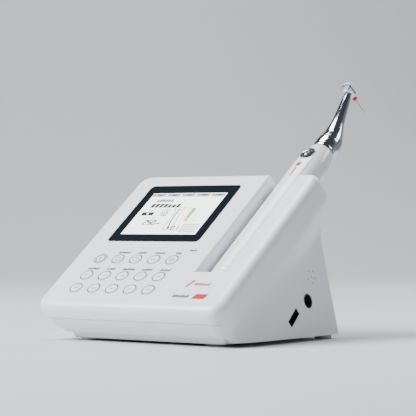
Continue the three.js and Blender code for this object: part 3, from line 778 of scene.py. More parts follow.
# %% Make the upper housing
JOINT_LINE = 0.00003  # the housings close tightly along the pillar
upper = outer_form("upper housing")
inside = inner_form("inside")
carve(upper, inside, keep_tool=True)
low_box = ((-1, -1, -1), (PILLAR_X + JOINT_LINE, 1, PARTING_Z + GAP / 2))
carve(upper, block("low box", *low_box))
for tool in (
    channel_inside(),
    channel_outside(GAP),
    window_pocket(),
    display_hole(),
    key_holes(),
    flank_holes(),
):
    carve(upper, tool)
soften(upper, 0.0002)
seat(upper, "console", ["upper_housing"])
print("upper housing:", len(upper.data.polygons), "faces")

# %% Make the lower housing
lower = outer_form("lower housing")
hull_box = ((-1, -1, HULL_BOTTOM_Z), (PILLAR_X - JOINT_LINE, 1, PARTING_Z - GAP / 2))
carve(lower, block("hull box", *hull_box), "INTERSECT")
carve(lower, inside)
soften(lower, 0.0002)
seat(lower, "console", ["lower_housing"])
print("lower housing:", len(lower.data.polygons), "faces")

# %% [markdown]
# ## The cradle's liner
# A U-shaped channel with walls 2 mm thick. It ends where the console's back ends.

# %% Make the liner
liner = channel_outside(0)
liner.name = "cradle_liner"
carve(liner, channel_inside())
carve(liner, outer_form("trim"), "INTERSECT")
PIN_S = 0.062
PIN_SPACING = 0.008
PIN_R = 0.0011
pin_holes = bmesh.new()
for side in (-0.5, 0.5):
    outline = circle(AXIS_X + side * PIN_SPACING, PIN_S, PIN_R + GAP, 20)
    add_prism(pin_holes, outline, -0.045, -0.030, PANEL)
carve(liner, new_piece("pin holes", pin_holes, [WHITE]))
soften(liner, 0.0003)
seat(liner, "console", ["cradle_trough"])

# %% [markdown]
# ## Base
# A plinth under the hull with sloping edges, and four round rubber feet.

# %% Plinth and feet
def make_plinth():
    x0, x1 = 0.021, 0.181
    y0, y1 = 0.0135, 0.150
    z0, z1 = 0.0022, 0.0067
    draft = 0.0022
    radius = 0.005
    top = rounded_rect(x0, y0, x1, y1, radius)
    foot = rounded_rect(x0 + draft, y0 + draft, x1 - draft, y1 - draft, radius - draft)
    rings = [[PLAN @ Vector((x, y, z1)) for x, y in top]]
    rings.append([PLAN @ Vector((x, y, z0)) for x, y in foot])
    plinth = new_piece("plinth", stack_rings(rings), [WHITE])
    holes = bmesh.new()
    for x in (x0 + 0.026, x1 - 0.026):
        for y in (y0 + 0.026, y1 - 0.026):
            add_prism(holes, circle(x, y, 0.0029, 32), -0.01, z0 + 0.0024, PLAN)
    carve(plinth, new_piece("screw wells", holes, [WHITE]))
    soften(plinth, 0.0005)
    return seat(plinth, "console", ["base_plinth"])


def make_foot(corner):
    low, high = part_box("foot_" + corner)
    centre = ((low[0] + high[0]) / 2, (low[1] + high[1]) / 2, 0)
    radius = (high[0] - low[0]) / 2
    height = high[2]
    points = [(0, 0), (radius - 0.0004, 0), (radius, height), (0, height)]
    place = Matrix.Translation(centre)
    foot = turned("foot " + corner, points, [0, 0.0006, 0.0002, 0], RUBBER, place)
    return seat(foot, "console", ["foot_" + corner])


make_plinth()
for corner in ("front_left", "front_right", "rear_left", "rear_right"):
    make_foot(corner)
print("base ready")

# %% [markdown]
# ## Printed marks
# Marks are flat faces a few hundredths of a millimetre above what they are printed on. A stroke
# is a line with a width. No words are printed: rows of small slanted blocks stand where a
# caption would be, and digits are drawn with up to seven strokes each.

# %% Strokes and shapes
class Print:
    """Collects flat marks in one frame, each with its material."""

    def __init__(self, place, materials):
        self.bm = bmesh.new()
        self.place = place
        self.materials = materials

    def shape(self, points, height, material):
        verts = [self.bm.verts.new(self.place @ Vector((x, y, height))) for x, y in points]
        face = self.bm.faces.new(verts)
        face.material_index = self.materials.index(material)

    def rect(self, x0, y0, x1, y1, height, material, lean=0.0):
        corners = [(x0, y0), (x1, y0), (x1, y1), (x0, y1)]
        self.shape([(x + lean * (y - y0), y) for x, y in corners], height, material)

    def stroke(self, points, width, height, material, closed=False):
        count = len(points)
        sides = []
        for i in range(count):
            before = Vector(points[i - 1 if closed or i else 0])
            here = Vector(points[i])
            after = Vector(points[(i + 1) % count if closed or i < count - 1 else i])
            into = (here - before).normalized() if i or closed else (after - here).normalized()
            out = (after - here).normalized() if i < count - 1 or closed else into
            across = Vector((-(into + out).y, (into + out).x)).normalized()
            stretch = width / 2 / max(across.dot(Vector((-into.y, into.x))), 0.4)
            sides.append((here + across * stretch, here - across * stretch))
        ends = count if closed else count - 1
        for i in range(ends):
            a, b = sides[i]
            c, d = sides[(i + 1) % count]
            self.shape([b, d, c, a], height, material)

    def caption(self, x, y, size, letters, height, material):
        """A row of small slanted blocks, centred on x."""
        pitch = size * 0.8
        start = x - letters * pitch / 2
        for k in range(letters):
            tall = size * random.choice((0.8, 1.0, 1.0))
            x0 = start + k * pitch
            self.rect(x0, y, x0 + pitch * 0.78, y + tall, height, material, lean=0.25)

    def number(self, text, x, y, size, height, material):
        """Digits of seven strokes, and a dot."""
        wide = size * 0.5
        bar = size * 0.22
        for character in text:
            if character == ".":
                self.rect(x - bar, y, x, y + bar, height, material)
                x += bar
                continue
            for index in SEGMENTS[character]:
                (x0, y0), (x1, y1) = SEGMENT_LINES[index]
                ends = [(x + x0 * wide, y + y0 * size), (x + x1 * wide, y + y1 * size)]
                self.stroke(ends, bar, height, material)
            x += wide * 1.5

    def finish(self, name, body):
        piece = new_piece(name, self.bm, self.materials, closed=False)
        return seat(piece, body)


SEGMENT_LINES = (
    ((0, 1), (1, 1)),
    ((1, 1), (1, 0.5)),
    ((1, 0.5), (1, 0)),
    ((1, 0), (0, 0)),
    ((0, 0), (0, 0.5)),
    ((0, 0.5), (0, 1)),
    ((0, 0.5), (1, 0.5)),
)
SEGMENTS = {
    "0": (0, 1, 2, 3, 4, 5),
    "1": (1, 2),
    "2": (0, 1, 6, 4, 3),
    "5": (0, 5, 6, 2, 3),
}

# %% [markdown]
# ## Keys
# Fifteen round caps stand just proud of the panel. Each has a thin printed ring and an orange
# sign: the power key a bar in a second ring, the top row plain signs, the rest arrowheads.

# %% Key caps
def key_profile():
    flange_r = 0.0073
    shoulder = -WALL - 0.0005
    bottom = shoulder - 0.001
    points = [
        (0, bottom),
        (flange_r, bottom),
        (flange_r, shoulder),
        (KEY_R, shoulder),
        (KEY_R, KEY_TOP),
        (0, KEY_TOP),
    ]
    return rounded(points, [0, 0.0002, 0.0002, 0, 0.0004, 0])


def draw_sign(marks, name):
    size = 0.0022
    line = 0.0008
    up = KEY_TOP + INK
    if name == "power":
        marks.stroke(circle(0, 0, 0.0040), 0.0006, up, INK_DARK, closed=True)
        marks.rect(-0.0005, -0.0021, 0.0005, 0.0021, up, INK_DARK)
    elif name == "auto_reverse":
        square = [(-size, -size), (size, -size), (size, size), (-size, size)]
        marks.stroke(square, line, up, INK_ORANGE, closed=True)
    elif name == "direction":
        marks.stroke(rounded_rect(-size, -size, size, size, 0.0009), line, up, INK_ORANGE, True)
    elif name == "apex":
        waves = [(-size * 1.3 + k * size * 0.65, 0.0008 * (-1) ** k) for k in range(5)]
        marks.stroke(waves, line, up, INK_ORANGE)
    elif name == "set":
        turns = [2 * math.pi * k / 16 for k in range(16)]
        reach = [0.0023 if k % 2 else 0.0017 for k in range(16)]
        cog = [(r * math.cos(a), r * math.sin(a)) for r, a in zip(reach, turns)]
        marks.stroke(cog, line, up, INK_ORANGE, closed=True)
        marks.shape(circle(0, 0, 0.0006, 16), up, INK_ORANGE)
    else:
        tip = 0.0011 if name.endswith("up") else -0.0011
        marks.stroke([(-size, -tip / 2), (0, tip / 2), (size, -tip / 2)], line, up, INK_ORANGE)


def make_key(name, x, s):
    place = PANEL @ Matrix.Translation((x, s, 0))
    body = "key_" + name
    cap = lathe(body + " cap", key_profile(), KEY_WHITE, place, steps=48, upright=True)
    seat(cap, body, [body])
    marks = Print(place, [INK_DARK, INK_ORANGE])
    marks.stroke(circle(0, 0, 0.0055), 0.0009, KEY_TOP + INK, INK_DARK, closed=True)
    draw_sign(marks, name)
    marks.finish(body + " sign", body)


for key in KEYS:
    make_key(*key)
print(len(KEYS), "keys made")

# %% Marks printed on the panel
panel_marks = Print(PANEL, [INK_DARK, INK_RED, INK_ORANGE])
CAPTIONS = {"auto_reverse": 6, "direction": 4, "apex": 5, "set": 3}
CAPTIONS |= {"system_up": 6, "file_up": 4, "torque_up": 6, "speed_up": 5, "angle_up": 5}
for name, x, s in KEYS:
    if name in CAPTIONS:
        panel_marks.caption(x + 0.0016, s + 0.0078, 0.0027, CAPTIONS[name], INK, INK_DARK)
lamp_x, lamp_s = LAMP
LAMP_MARKS = (
    (-0.0055, -0.0008, -0.0022, 0.001, INK_DARK),
    (-0.0022, -0.0003, -0.0018, 0.0005, INK_DARK),
    (-0.006, -0.0027, -0.0018, -0.0023, INK_ORANGE),
)
for x0, s0, x1, s1, ink in LAMP_MARKS:
    panel_marks.rect(lamp_x + x0, lamp_s + s0, lamp_x + x1, lamp_s + s1, INK, ink)
# a plain badge: a tall red stroke and a row of red blocks, then dark blocks and a red bar
panel_marks.rect(0.1390, 0.0205, 0.1416, 0.0290, INK, INK_RED, lean=0.5)
panel_marks.caption(0.1545, 0.0225, 0.0033, 6, INK, INK_RED)
panel_marks.caption(0.1420, 0.0068, 0.0034, 6, INK, INK_DARK)
panel_marks.rect(0.1535, 0.0055, 0.1660, 0.0118, INK, INK_RED, lean=0.4)
panel_marks.finish("panel marks", "console")

lamp_points = [(0, -0.004), (LAMP_R, -0.004), (LAMP_R, 0.0001), (0, 0.0001)]
lamp_place = PANEL @ Matrix.Translation((*LAMP, 0))
lamp = turned("status lamp", lamp_points, [0, 0, 0.0003, 0], AMBER, lamp_place, 24)
seat(lamp, "console", ["status_lamp"])

# %% [markdown]
# ## Screen
# A black window with a clear middle. The display rises into that middle and its face lies just
# under the window's own, so that the two read as one sheet of glass.

# %% Window and display
def make_window():
    x0, x1 = SCREEN_X[0] + GAP, SCREEN_X[1] - GAP
    s0, s1 = SCREEN_S[0] + GAP, SCREEN_S[1] - GAP
    outline = rounded_rect(x0, s0, x1, s1, SCREEN_CORNER)
    window = prism("window", outline, -WINDOW_THICKNESS, 0, GLASS, PANEL)
    low = (LCD_X[0], LCD_S[0], -0.01)
    high = (LCD_X[1], LCD_S[1], 0.01)
    carve(window, block("view", low, high, GLASS, PANEL))
    soften(window, 0.0002)
    return seat(window, "console", ["screen_window"])


def make_display():
    border = 0.003
    bottom = -WINDOW_THICKNESS - 0.0034
    step = -WINDOW_THICKNESS - 0.0004
    clear = 0.0001
    wide = [LCD_X[0] - border, LCD_S[0] - border, LCD_X[1] + border, LCD_S[1] + border]
    narrow = [LCD_X[0] + clear, LCD_S[0] + clear, LCD_X[1] - clear, LCD_S[1] - clear]
    levels = [(wide, bottom), (wide, step), (narrow, step), (narrow, -0.00005)]
    rings = []
    for (x0, s0, x1, s1), height in reversed(levels):
        corners = [(x0, s0), (x1, s0), (x1, s1), (x0, s1)]
        rings.append([PANEL @ Vector((x, s, height)) for x, s in corners])
    display = new_piece("display", stack_rings(rings), [LIT])
    return seat(display, "console", ["lcd_panel"])


make_window()
make_display()

# %% What the display shows
SHOWN = [SHOWN_DARK, SHOWN_GREY, SHOWN_GREEN, SHOWN_ORANGE, SHOWN_TAN, SHOWN_PALE, LIT]
DISPLAY = PANEL @ Matrix.Translation((LCD_X[0], LCD_S[0], -0.00005))
shown = Print(DISPLAY, SHOWN)
TABS = 5
tab_width = (LCD_X[1] - LCD_X[0]) / TABS
for k in range(TABS):
    x0 = k * tab_width + 0.0006
    shown.rect(x0, 0.0550, x0 + tab_width - 0.0016, 0.0592, INK, SHOWN_GREY)
    shown.caption(x0 + tab_width / 2, 0.0562, 0.0018, 4, 2 * INK, SHOWN_DARK)
SHOWN_CAPTIONS = (
    # x, y, size, letters, ink
    (0.0190, 0.0470, 0.0038, 6, SHOWN_DARK),
    (0.0240, 0.0385, 0.0058, 7, SHOWN_DARK),
    (0.0120, 0.0338, 0.0018, 3, SHOWN_GREY),
    (0.0290, 0.0338, 0.0018, 5, SHOWN_GREY),
    (0.0215, 0.0222, 0.0018, 4, SHOWN_GREY),
    (0.0310, 0.0142, 0.0020, 3, SHOWN_DARK),
)
for x, y, size, letters, ink in SHOWN_CAPTIONS:
    shown.caption(x, y, size, letters, INK, ink)
for digits, x, y, size in (
    ("1.0", 0.0240, 0.0268, 0.0054),
    ("250", 0.0150, 0.0140, 0.0060),
    ("01", 0.0500, 0.0060, 0.0052),
):
    shown.number(digits, x, y, size, INK, SHOWN_DARK)
shown.rect(0.0050, 0.0270, 0.0180, 0.0318, INK, SHOWN_DARK)
shown.shape(circle(0.0115, 0.0294, 0.0011, 24), 2 * INK, LIT)
shown.rect(0.0030, 0.0080, 0.0300, 0.0083, INK, SHOWN_GREY)

# %% The tooth and the depth scale
def tooth_side(side):
    steps = 14
    points = []
    for k in range(steps + 1):
        t = k / steps
        half = 0.0030 + 0.0030 * t**2 + 0.0012 * math.sin(2 * math.pi * t)
        centre = 0.0455 - 0.0030 * t
        points.append((centre + side * half, 0.0060 + 0.0330 * t))
    return points


outline = tooth_side(-1) + list(reversed(tooth_side(1)))
shown.stroke(outline, 0.0009, INK, SHOWN_TAN, closed=True)
canal = []
for k in range(13):
    t = k / 12
    canal.append((0.0460 - 0.0035 * t - 0.0012 * math.sin(math.pi * t), 0.0088 + 0.0280 * t))
shown.stroke(canal, 0.0013, 2 * INK, SHOWN_DARK)
shown.shape(circle(*canal[0], 0.0015, 20), 3 * INK, SHOWN_DARK)
SCALE_BARS = 10
for k in range(SCALE_BARS):
    y0 = 0.0190 + k * 0.0019
    ink = SHOWN_ORANGE if k < 3 else SHOWN_GREEN
    shown.rect(0.0560, y0, 0.0600, y0 + 0.0016, INK, ink)
for x in (0.0530, 0.0640):
    shown.stroke([(x, 0.0180), (x, 0.0390)], 0.0004, INK, SHOWN_TAN)
shown.rect(0.0660, 0.0195, 0.0700, 0.0203, INK, SHOWN_ORANGE)
shown.rect(0.0600, 0.0030, 0.0765, 0.0150, INK, SHOWN_PALE)
for k in range(4):
    shown.rect(0.0615, 0.0045 + k * 0.0026, 0.0750, 0.0052 + k * 0.0026, 2 * INK, LIT)
shown.finish("display picture", "console")
print("display drawn")

# %% [markdown]
# ## Sockets
# The power socket is a black barrel with three pins. The lead socket is a slot along the slope.
# Both are made too long and then cut off flush with the leaning flank.

# %% Make the sockets
def make_power_socket():
    face = 0.1945
    depth = 0.0177
    outer_r = POWER_HOLE_R - GAP
    bore = 0.0052
    collar = outer_r + 0.0019
    points = [
        (0, face - depth - 0.002),
        (collar, face - depth - 0.002),
        (collar, face - 0.0105),
        (outer_r, face - 0.0105),
        (outer_r, face),
        (bore, face),
        (bore, face - depth),
        (0, face - depth),
    ]
    place = FLANK @ Matrix.Translation((POWER_Y, POWER_Z, 0))
    profile = rounded(points, [0, 0.0003, 0.0003, 0, 0.0004, 0.0004, 0.0002, 0], 3)
    socket = lathe("power socket", profile, DULL, place, steps=48, upright=True)
    carve(socket, outer_form("trim"), "INTERSECT")
    seat(socket, "console", ["power_socket"])
    bm = bmesh.new()
    for k in range(3):
        angle = math.pi / 2 + k * 2 * math.pi / 3
        spot = circle(0.0029 * math.cos(angle), 0.0029 * math.sin(angle), 0.0007, 16)
        add_prism(bm, spot, face - depth - 0.001, face - depth + 0.003, place)
    pins = new_piece("power socket pins", bm, [BRASS])
    return seat(pins, "console")


def make_lead_socket():
    face = 0.1955
    depth = 0.0176
    body = prism(
        "lead socket",
        lead_outline(LEAD_LENGTH - 2 * GAP, LEAD_HEIGHT - 2 * GAP),
        face - depth - 0.0015,
        face,
        DULL,
        FLANK,
    )
    collar = lead_outline(LEAD_LENGTH + 0.002, LEAD_HEIGHT + 0.002)
    carve(body, prism("c", collar, face - depth - 0.0015, face - 0.011, DULL, FLANK), "UNION")
    hollow = lead_outline(LEAD_LENGTH - 0.0018, LEAD_HEIGHT - 0.0014)
    carve(body, prism("h", hollow, face - depth, face + 0.01, DULL, FLANK))
    carve(body, outer_form("trim"), "INTERSECT")
    soften(body, 0.0002)
    return seat(body, "console", ["lead_socket"])


make_power_socket()
make_lead_socket()

# %% [markdown]
# ## Handpiece
# The casing is a tube with a long strip let into its top. Tube and strip come from one grid of
# rows along the axis and columns round it: the tube leaves out the cells that the strip fills.

# %% Casing surface
CASING_START = 0.0502
CASING_END = 0.2353
START_R = 0.0143  # it widens from this over its first few millimetres
TAPER_START = 0.212  # and narrows again from here
TAPER = 0.0035
COVER_START = 0.056
COVER_END = 0.230
FINE_STEP = 0.0012
COARSE_STEP = 0.006
COVER_HALF = math.radians(33)
SEAM = GAP / 2 / HANDPIECE_R  # half the seam, as an angle


def casing_radius(y):
    if y < COVER_START:
        share = (y - CASING_START) / (COVER_START - CASING_START)
        return lerp(START_R, HANDPIECE_R, math.sqrt(share))
    if y > TAPER_START:
        return HANDPIECE_R - TAPER * ((y - TAPER_START) / (CASING_END - TAPER_START)) ** 1.35
    return HANDPIECE_R


def casing_point(y, angle, lift=0.0):
    """Angle is measured from the top."""
    r = casing_radius(y) + lift
    return HANDPIECE @ Vector((r * math.sin(angle), y, r * math.cos(angle)))


def spaced(start, end, step):
    count = max(round((end - start) / step), 1)
    return [lerp(start, end, k / count) for k in range(count + 1)]


def casing_rows(start, end):
    """Places along the axis: close together where the radius changes, wider apart between."""
    middle = min(TAPER_START, end)
    rows = [start]
    if start < COVER_START:
        rows = spaced(start, min(COVER_START, end), FINE_STEP)
    rows += spaced(max(start, COVER_START), middle, COARSE_STEP)
    rows += spaced(middle, end, FINE_STEP)[1:]
    return sorted(set(rows))


# %% Make the casing and its cover
def sheet_grid(rows, angles, lift, skip=None, closed=False):
    bm = bmesh.new()
    grid = [[bm.verts.new(casing_point(y, a, lift)) for a in angles] for y in rows]
    columns = len(angles) if closed else len(angles) - 1
    for i in range(len(rows) - 1):
        for j in range(columns):
            if skip and skip(i, j):
                continue
            k = (j + 1) % len(angles)
            bm.faces.new((grid[i][j], grid[i][k], grid[i + 1][k], grid[i + 1][j]))
    loose = [v for v in bm.verts if not v.link_faces]
    bmesh.ops.delete(bm, geom=loose, context="VERTS")
    return bm


def thicken(piece, thickness):
    wall = piece.modifiers.new("wall", "SOLIDIFY")
    wall.thickness = thickness
    wall.offset = -1
    return piece


def make_casing():
    rows = casing_rows(CASING_START, COVER_START) + casing_rows(COVER_START, COVER_END)[1:]
    rows += casing_rows(COVER_END, CASING_END)[1:]
    edge = COVER_HALF + SEAM
    angles = spaced(-edge, edge, math.radians(5.5))
    covered = len(angles) - 1
    angles += spaced(edge, 2 * math.pi - edge, math.radians(5.5))[1:-1]
    first = rows.index(COVER_START)
    last = rows.index(COVER_END)

    def in_slot(i, j):
        return first <= i < last and j < covered

    bm = sheet_grid(rows, angles, 0, in_slot, closed=True)
    casing = new_piece("handpiece casing", bm, [CASING_WHITE])
    thicken(casing, 0.0016)
    soften(casing, 0.00025)
    return seat(casing, "handpiece", ["handpiece_shell"])


def make_cover():
    rows = casing_rows(COVER_START + GAP, COVER_END - GAP)
    edge = COVER_HALF - SEAM
    bm = sheet_grid(rows, spaced(-edge, edge, math.radians(3)), 0.00004)
    cover = new_piece("handpiece cover", bm, [CASING_WHITE])
    thicken(cover, 0.0016)
    soften(cover, 0.00035, 3)
    return seat(cover, "handpiece", ["handpiece_cover"])


make_casing()
make_cover()
END_CAP = [(0, 0.0415), (0.009, 0.0415), (0.012, 0.0426), (0.0138, 0.0454), (0.0143, 0.0499)]
END_CAP += [(0.0125, 0.0499), (0.0125, 0.053), (0.011, 0.053), (0.011, 0.046), (0, 0.046)]
end_cap_profile = rounded(END_CAP, [0, 0.002, 0.001, 0.002, 0.0003, 0, 0, 0, 0, 0])
end_cap = lathe("end cap", end_cap_profile, CASING_WHITE, HANDPIECE)
seat(end_cap, "handpiece", ["handpiece_end_cap"])

# %% Button and bezel
BEZEL_TOP = 0.00035
BUTTON_R = 0.0044
bezel_outline = rounded_rect(-0.0054, -0.008, 0.0054, 0.008, 0.0053, 12)
bezel = prism("button bezel", bezel_outline, -0.0022, BEZEL_TOP, BLACK, BUTTON)
well = prism("well", circle(0, 0, BUTTON_R + GAP), -0.0017, CLEAR, BLACK, BUTTON)
carve(bezel, well)
soften(bezel, 0.0003, 3)
seat(bezel, "handpiece", ["button_bezel"])

button_points = [(0, -0.0008), (BUTTON_R, -0.0008), (BUTTON_R, 0.0008), (0, 0.0006)]
button = turned("handpiece button", button_points, [0, 0, 0.0006, 0], BLACK, BUTTON)
seat(button, "handpiece_button", ["handpiece_button"])
ring_profile = [(0.0035, 0.00055), (0.0035, 0.00078), (0.0039, 0.00086), (0.0041, 0.0007)]
ring_profile += [(0.0041, 0.0005), (0.0035, 0.00055)]
ring = lathe("button ring", ring_profile, CHROME, BUTTON, upright=True)
seat(ring, "handpiece_button")
SIGN_GREY = make_ink("button sign", (0.55, 0.57, 0.6))
sign = Print(BUTTON, [SIGN_GREY])
open_ring = [
    (0.0017 * math.sin(a), 0.0017 * math.cos(a))
    for a in [math.radians(40 + k * 280 / 20) for k in range(21)]
]
sign.stroke(open_ring, 0.0004, 0.00073, SIGN_GREY)
sign.rect(-0.0002, 0.0004, 0.0002, 0.0021, 0.00075, SIGN_GREY)
sign.finish("button sign", "handpiece_button")

# %% A plain mark on the cover
def wrap_mark(name, y0, y1, half_angle, material, steps=6):
    bm = bmesh.new()
    lift = 0.00004 + INK
    sides = spaced(-half_angle, half_angle, half_angle / 2)
    grid = [
        [bm.verts.new(casing_point(y, a, lift)) for a in sides]
        for y in spaced(y0, y1, (y1 - y0) / steps)
    ]
    for lower_row, upper_row in zip(grid, grid[1:]):
        for j in range(len(sides) - 1):
            bm.faces.new((lower_row[j], lower_row[j + 1], upper_row[j + 1], upper_row[j]))
    return seat(new_piece(name, bm, [material], closed=False), "handpiece")


wrap_mark("cover mark", 0.182, 0.195, math.radians(3), INK_RED)
wrap_mark("cover badge", 0.197, 0.202, math.radians(9), INK_RED)

# %% [markdown]
# ## Contra-angle
# A turned sleeve, bent by 20 degrees, narrows into the neck. The head is turned about an axis
# square to the neck, with a cap above and the file below.

# %% Bend the sleeve
BEND_START = 0.250
BEND_ARC = 0.012
SLEEVE_STATIONS = [
    (0.2356, 0.0109), (0.2360, 0.0112), (0.240, 0.0115), (0.245, 0.0117), (0.250, 0.0114),
    (0.256, 0.0105), (0.261, 0.0092), (0.2665, 0.0079), (0.271, 0.0069), (0.276, 0.0060),
    (0.282, 0.0054), (0.290, 0.0049), (0.298, 0.0043), (0.304, 0.0037), (0.3085, 0.0033),
]


def bend_point(point):
    along = point.y - BEND_START
    if along <= 0:
        return point
    radius = BEND_ARC / BEND
    turn = BEND * min(along / BEND_ARC, 1)
    past = max(along - BEND_ARC, 0)
    centre_y = BEND_START + radius * math.sin(turn) + past * math.cos(turn)
    centre_z = radius * (1 - math.cos(turn)) + past * math.sin(turn)
    y = centre_y - point.z * math.sin(turn)
    z = centre_z + point.z * math.cos(turn)
    return Vector((point.x, y, z))


def smooth_through(stations, per_gap=6):
    """A Catmull-Rom curve through (place, radius) stations."""
    padded = [stations[0]] + stations + [stations[-1]]
    result = []
    for a, b, c, d in zip(padded, padded[1:], padded[2:], padded[3:]):
        for k in range(per_gap):
            t = k / per_gap
            point = []
            for p, q, r, s in zip(a, b, c, d):
                point.append(
                    0.5 * (2 * q + (r - p) * t + (2 * p - 5 * q + 4 * r - s) * t**2
                           + (3 * q - p - 3 * r + s) * t**3)
                )
            result.append(tuple(point))
    return result + [stations[-1]]


def sleeve_profile():
    outside = []
    for y, r in smooth_through(SLEEVE_STATIONS):
        for groove in (0.2385, 0.2405, 0.2512):
            r -= 0.00028 * math.exp(-(((y - groove) / 0.00035) ** 2))
        outside.append((r, y))
    end = [(0.0019, 0.3085), (0.0019, 0.274), (0.0048, 0.262), (0.0076, 0.252)]
    return outside + end + [(0.0076, 0.246), (0.0053, 0.2458), (0.0053, 0.2356), outside[0]]


bm = lathe_mesh(sleeve_profile(), Matrix.Identity(4), steps=72)
for vert in bm.verts:
    vert.co = HANDPIECE @ bend_point(vert.co)
sleeve = new_piece("contra-angle sleeve", bm, [CHROME])
seat(sleeve, "contra_angle", ["contra_sleeve"])

# %% Head and cap
CASE = [(0.0021, -0.0061), (0.0033, -0.0061), (HEAD_R, -0.0052), (HEAD_R, 0.0034)]
CASE += [(0.0039, 0.0034), (0.0039, -0.0049), (0.0021, -0.0049), (0.0021, -0.0061)]
CASE_RADII = [0, 0.0005, 0.0009, 0.0002, 0.0001, 0, 0, 0]
head = turned("head housing", CASE, CASE_RADII, CHROME, HEAD)
seat(head, "contra_angle", ["head_housing"])
CAP = [(0, 0.0024), (0.0035, 0.0024), (0.0035, 0.0039), (0.0047, 0.0039), (0.0047, 0.0056)]
CAP += [(0.0041, 0.0063), (0.0038, 0.0060)]
cap_profile = rounded(CAP, [0, 0.0002, 0, 0.0002, 0.0005, 0.0002, 0])
cap = lathe("push cap", cap_profile + [(0, 0.0060)], CHROME, HEAD, upright=True)
seat(cap, "push_cap", ["push_cap"])
disc = [(0, 0.00605), (0.0037, 0.00605), (0.0034, 0.00635), (0, 0.00655)]
cap_disc = turned("cap face", disc, [0, 0.0001, 0.0006, 0], CAP_STEEL, HEAD)
seat(cap_disc, "push_cap")

# %% Collar where the neck meets the head
collar_profile = [(0.0029, 0.0505), (0.0032, 0.0515), (0.0034, 0.053), (0.0030, 0.0545)]
collar_profile += [(0.0021, 0.0545), (0.0021, 0.0505), (0.0029, 0.0505)]
collar = lathe("neck collar", collar_profile, CHROME, NECK)
seat(collar, "contra_angle")

# %% [markdown]
# ## File
# The blade is a triangle that turns as it goes down, which leaves two long spiral flutes. The
# brass shank ends in the chuck.

# %% Make the file and its stopper
def make_blade():
    top = -0.0091
    tip = -0.0335
    rows = 90
    turns = 5.5
    rings = []
    for k in range(rows + 1):
        t = k / rows
        z = lerp(top, tip, t)
        r = lerp(0.0006, 0.00022, t)
        twist = turns * 2 * math.pi * max(t - 0.3, 0) / 0.7
        depth = 0.28 * clamp((t - 0.28) / 0.06)
        ring = []
        for j in range(12):
            a = 2 * math.pi * j / 12
            reach = r * (1 - depth * (0.5 + 0.5 * math.cos(3 * a)))
            across = (reach * math.cos(a + twist), reach * math.sin(a + twist))
            ring.append(HEAD @ Vector((*across, z)))
        rings.append(ring)
    blade = new_piece("file blade", stack_rings(rings), [FILE_ALLOY], sharp=60)
    return seat(blade, "rotary_file")


make_blade()
SHANK = [(0, -0.0091), (0.0013, -0.0091), (0.0013, -0.0069), (0.00105, -0.0068)]
SHANK += [(0.00105, 0.0012), (0, 0.0012)]
shank = turned("file shank", SHANK, [0, 0.0003, 0.0001, 0, 0.0003, 0], BRASS, HEAD, 32)
seat(shank, "rotary_file", ["rotary_file"])
STOP = [(0.00085, -0.0119), (0.0024, -0.0119), (0.0024, -0.0113), (0.0014, -0.0103)]
STOP += [(0.00085, -0.0103), (0.00085, -0.0119)]
stopper = turned("stopper", STOP, [0, 0.0002, 0.0002, 0.0002, 0, 0], RED_RUBBER, HEAD, 40)
seat(stopper, "file_stopper", ["file_stopper"])
print("contra-angle ready")

# %% [markdown]
# ## Stage, camera and light
# A pale floor sweeps up behind the object. A large soft light stands to the left and front and
# another hangs above. A weak one fills the right, and a strip behind draws the edges.

# %% Floor
def make_sweep():
    bm = bmesh.new()
    profile = [(-3.0, 0.0), (1.4, 0.0)]
    turn = 0.9
    for k in range(1, 17):
        a = k / 16 * math.pi / 2
        profile.append((1.4 + turn * math.sin(a), turn * (1 - math.cos(a))))
    profile.append((2.3, 1.5))
    away = Matrix.Rotation(math.radians(35.9), 4, "Z")
    rows = []
    for along, z in profile:
        rows.append([bm.verts.new(away @ Vector((x, along, z))) for x in (-4, 4)])
    for low, high in zip(rows, rows[1:]):
        bm.faces.new((low[0], low[1], high[1], high[0]))
    return new_piece("floor", bm, [FLOOR_PAINT], closed=False)


FLOOR_PAINT = make_material("pale floor", (0.62, 0.63, 0.65), 0.55, mottle=0.2, grain=0.0)
make_sweep()

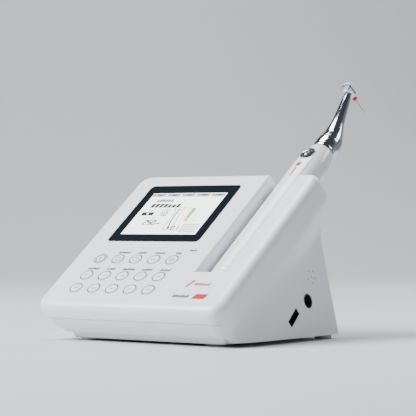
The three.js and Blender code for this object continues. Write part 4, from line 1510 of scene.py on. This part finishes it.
# %% Camera
CAMERA_AT = CORNER + Vector((0.9607, -1.0878, 0.1018))
YAW = math.radians(35.87)
PITCH = math.radians(0.36)
camera_data = bpy.data.cameras.new("camera")
camera_data.lens = 148.1
camera_data.sensor_width = 36
camera = bpy.data.objects.new("camera", camera_data)
camera.location = CAMERA_AT
camera.rotation_euler = (math.pi / 2 + PITCH, 0, YAW)
bpy.context.scene.collection.objects.link(camera)
bpy.context.scene.camera = camera

# %% Lights
def area_light(name, place, size, power, color=(1, 1, 1), aim=(0, 0, 0.09)):
    data = bpy.data.lights.new(name, "AREA")
    data.shape = "RECTANGLE"
    data.size, data.size_y = size
    data.energy = power
    data.color = color
    light = bpy.data.objects.new(name, data)
    light.location = place
    direction = Vector(aim) - Vector(place)
    light.rotation_euler = direction.to_track_quat("-Z", "Y").to_euler()
    bpy.context.scene.collection.objects.link(light)
    return light


area_light("key", (-0.9, -1.3, 1.5), (1.1, 1.1), 104, (0.95, 0.97, 1))
area_light("fill", (1.6, -0.5, 0.8), (0.8, 0.8), 1.5, (0.93, 0.96, 1))
area_light("rim", (0.3, 1.3, 1.0), (1.4, 0.4), 14)
area_light("top", (-0.4, 0.2, 1.9), (0.9, 0.9), 30, (0.96, 0.98, 1))

# %% [markdown]
# The sky is pale near the horizon and dark overhead, as in a studio with a black ceiling. Chrome
# and glass need that dark part: a polished surface is only as dark as what it mirrors.

# %% Sky
def make_sky():
    world = bpy.data.worlds.new("studio")
    world.use_nodes = True
    tree = world.node_tree
    place = tree.nodes.new("ShaderNodeTexCoord").outputs["Generated"]
    axes = add_node(tree, "SeparateXYZ", {0: place})
    ramp = add_node(tree, "ValToRGB", {"Fac": axes.outputs["Z"]})
    horizon, overhead = ramp.color_ramp.elements
    horizon.position = 0.12
    horizon.color = (0.62, 0.66, 0.72, 1)
    overhead.position = 0.55
    overhead.color = (0.13, 0.14, 0.17, 1)
    background = tree.nodes["Background"].inputs
    background["Strength"].default_value = 0.4
    tree.links.new(ramp.outputs["Color"], background["Color"])
    return world


bpy.context.scene.world = make_sky()
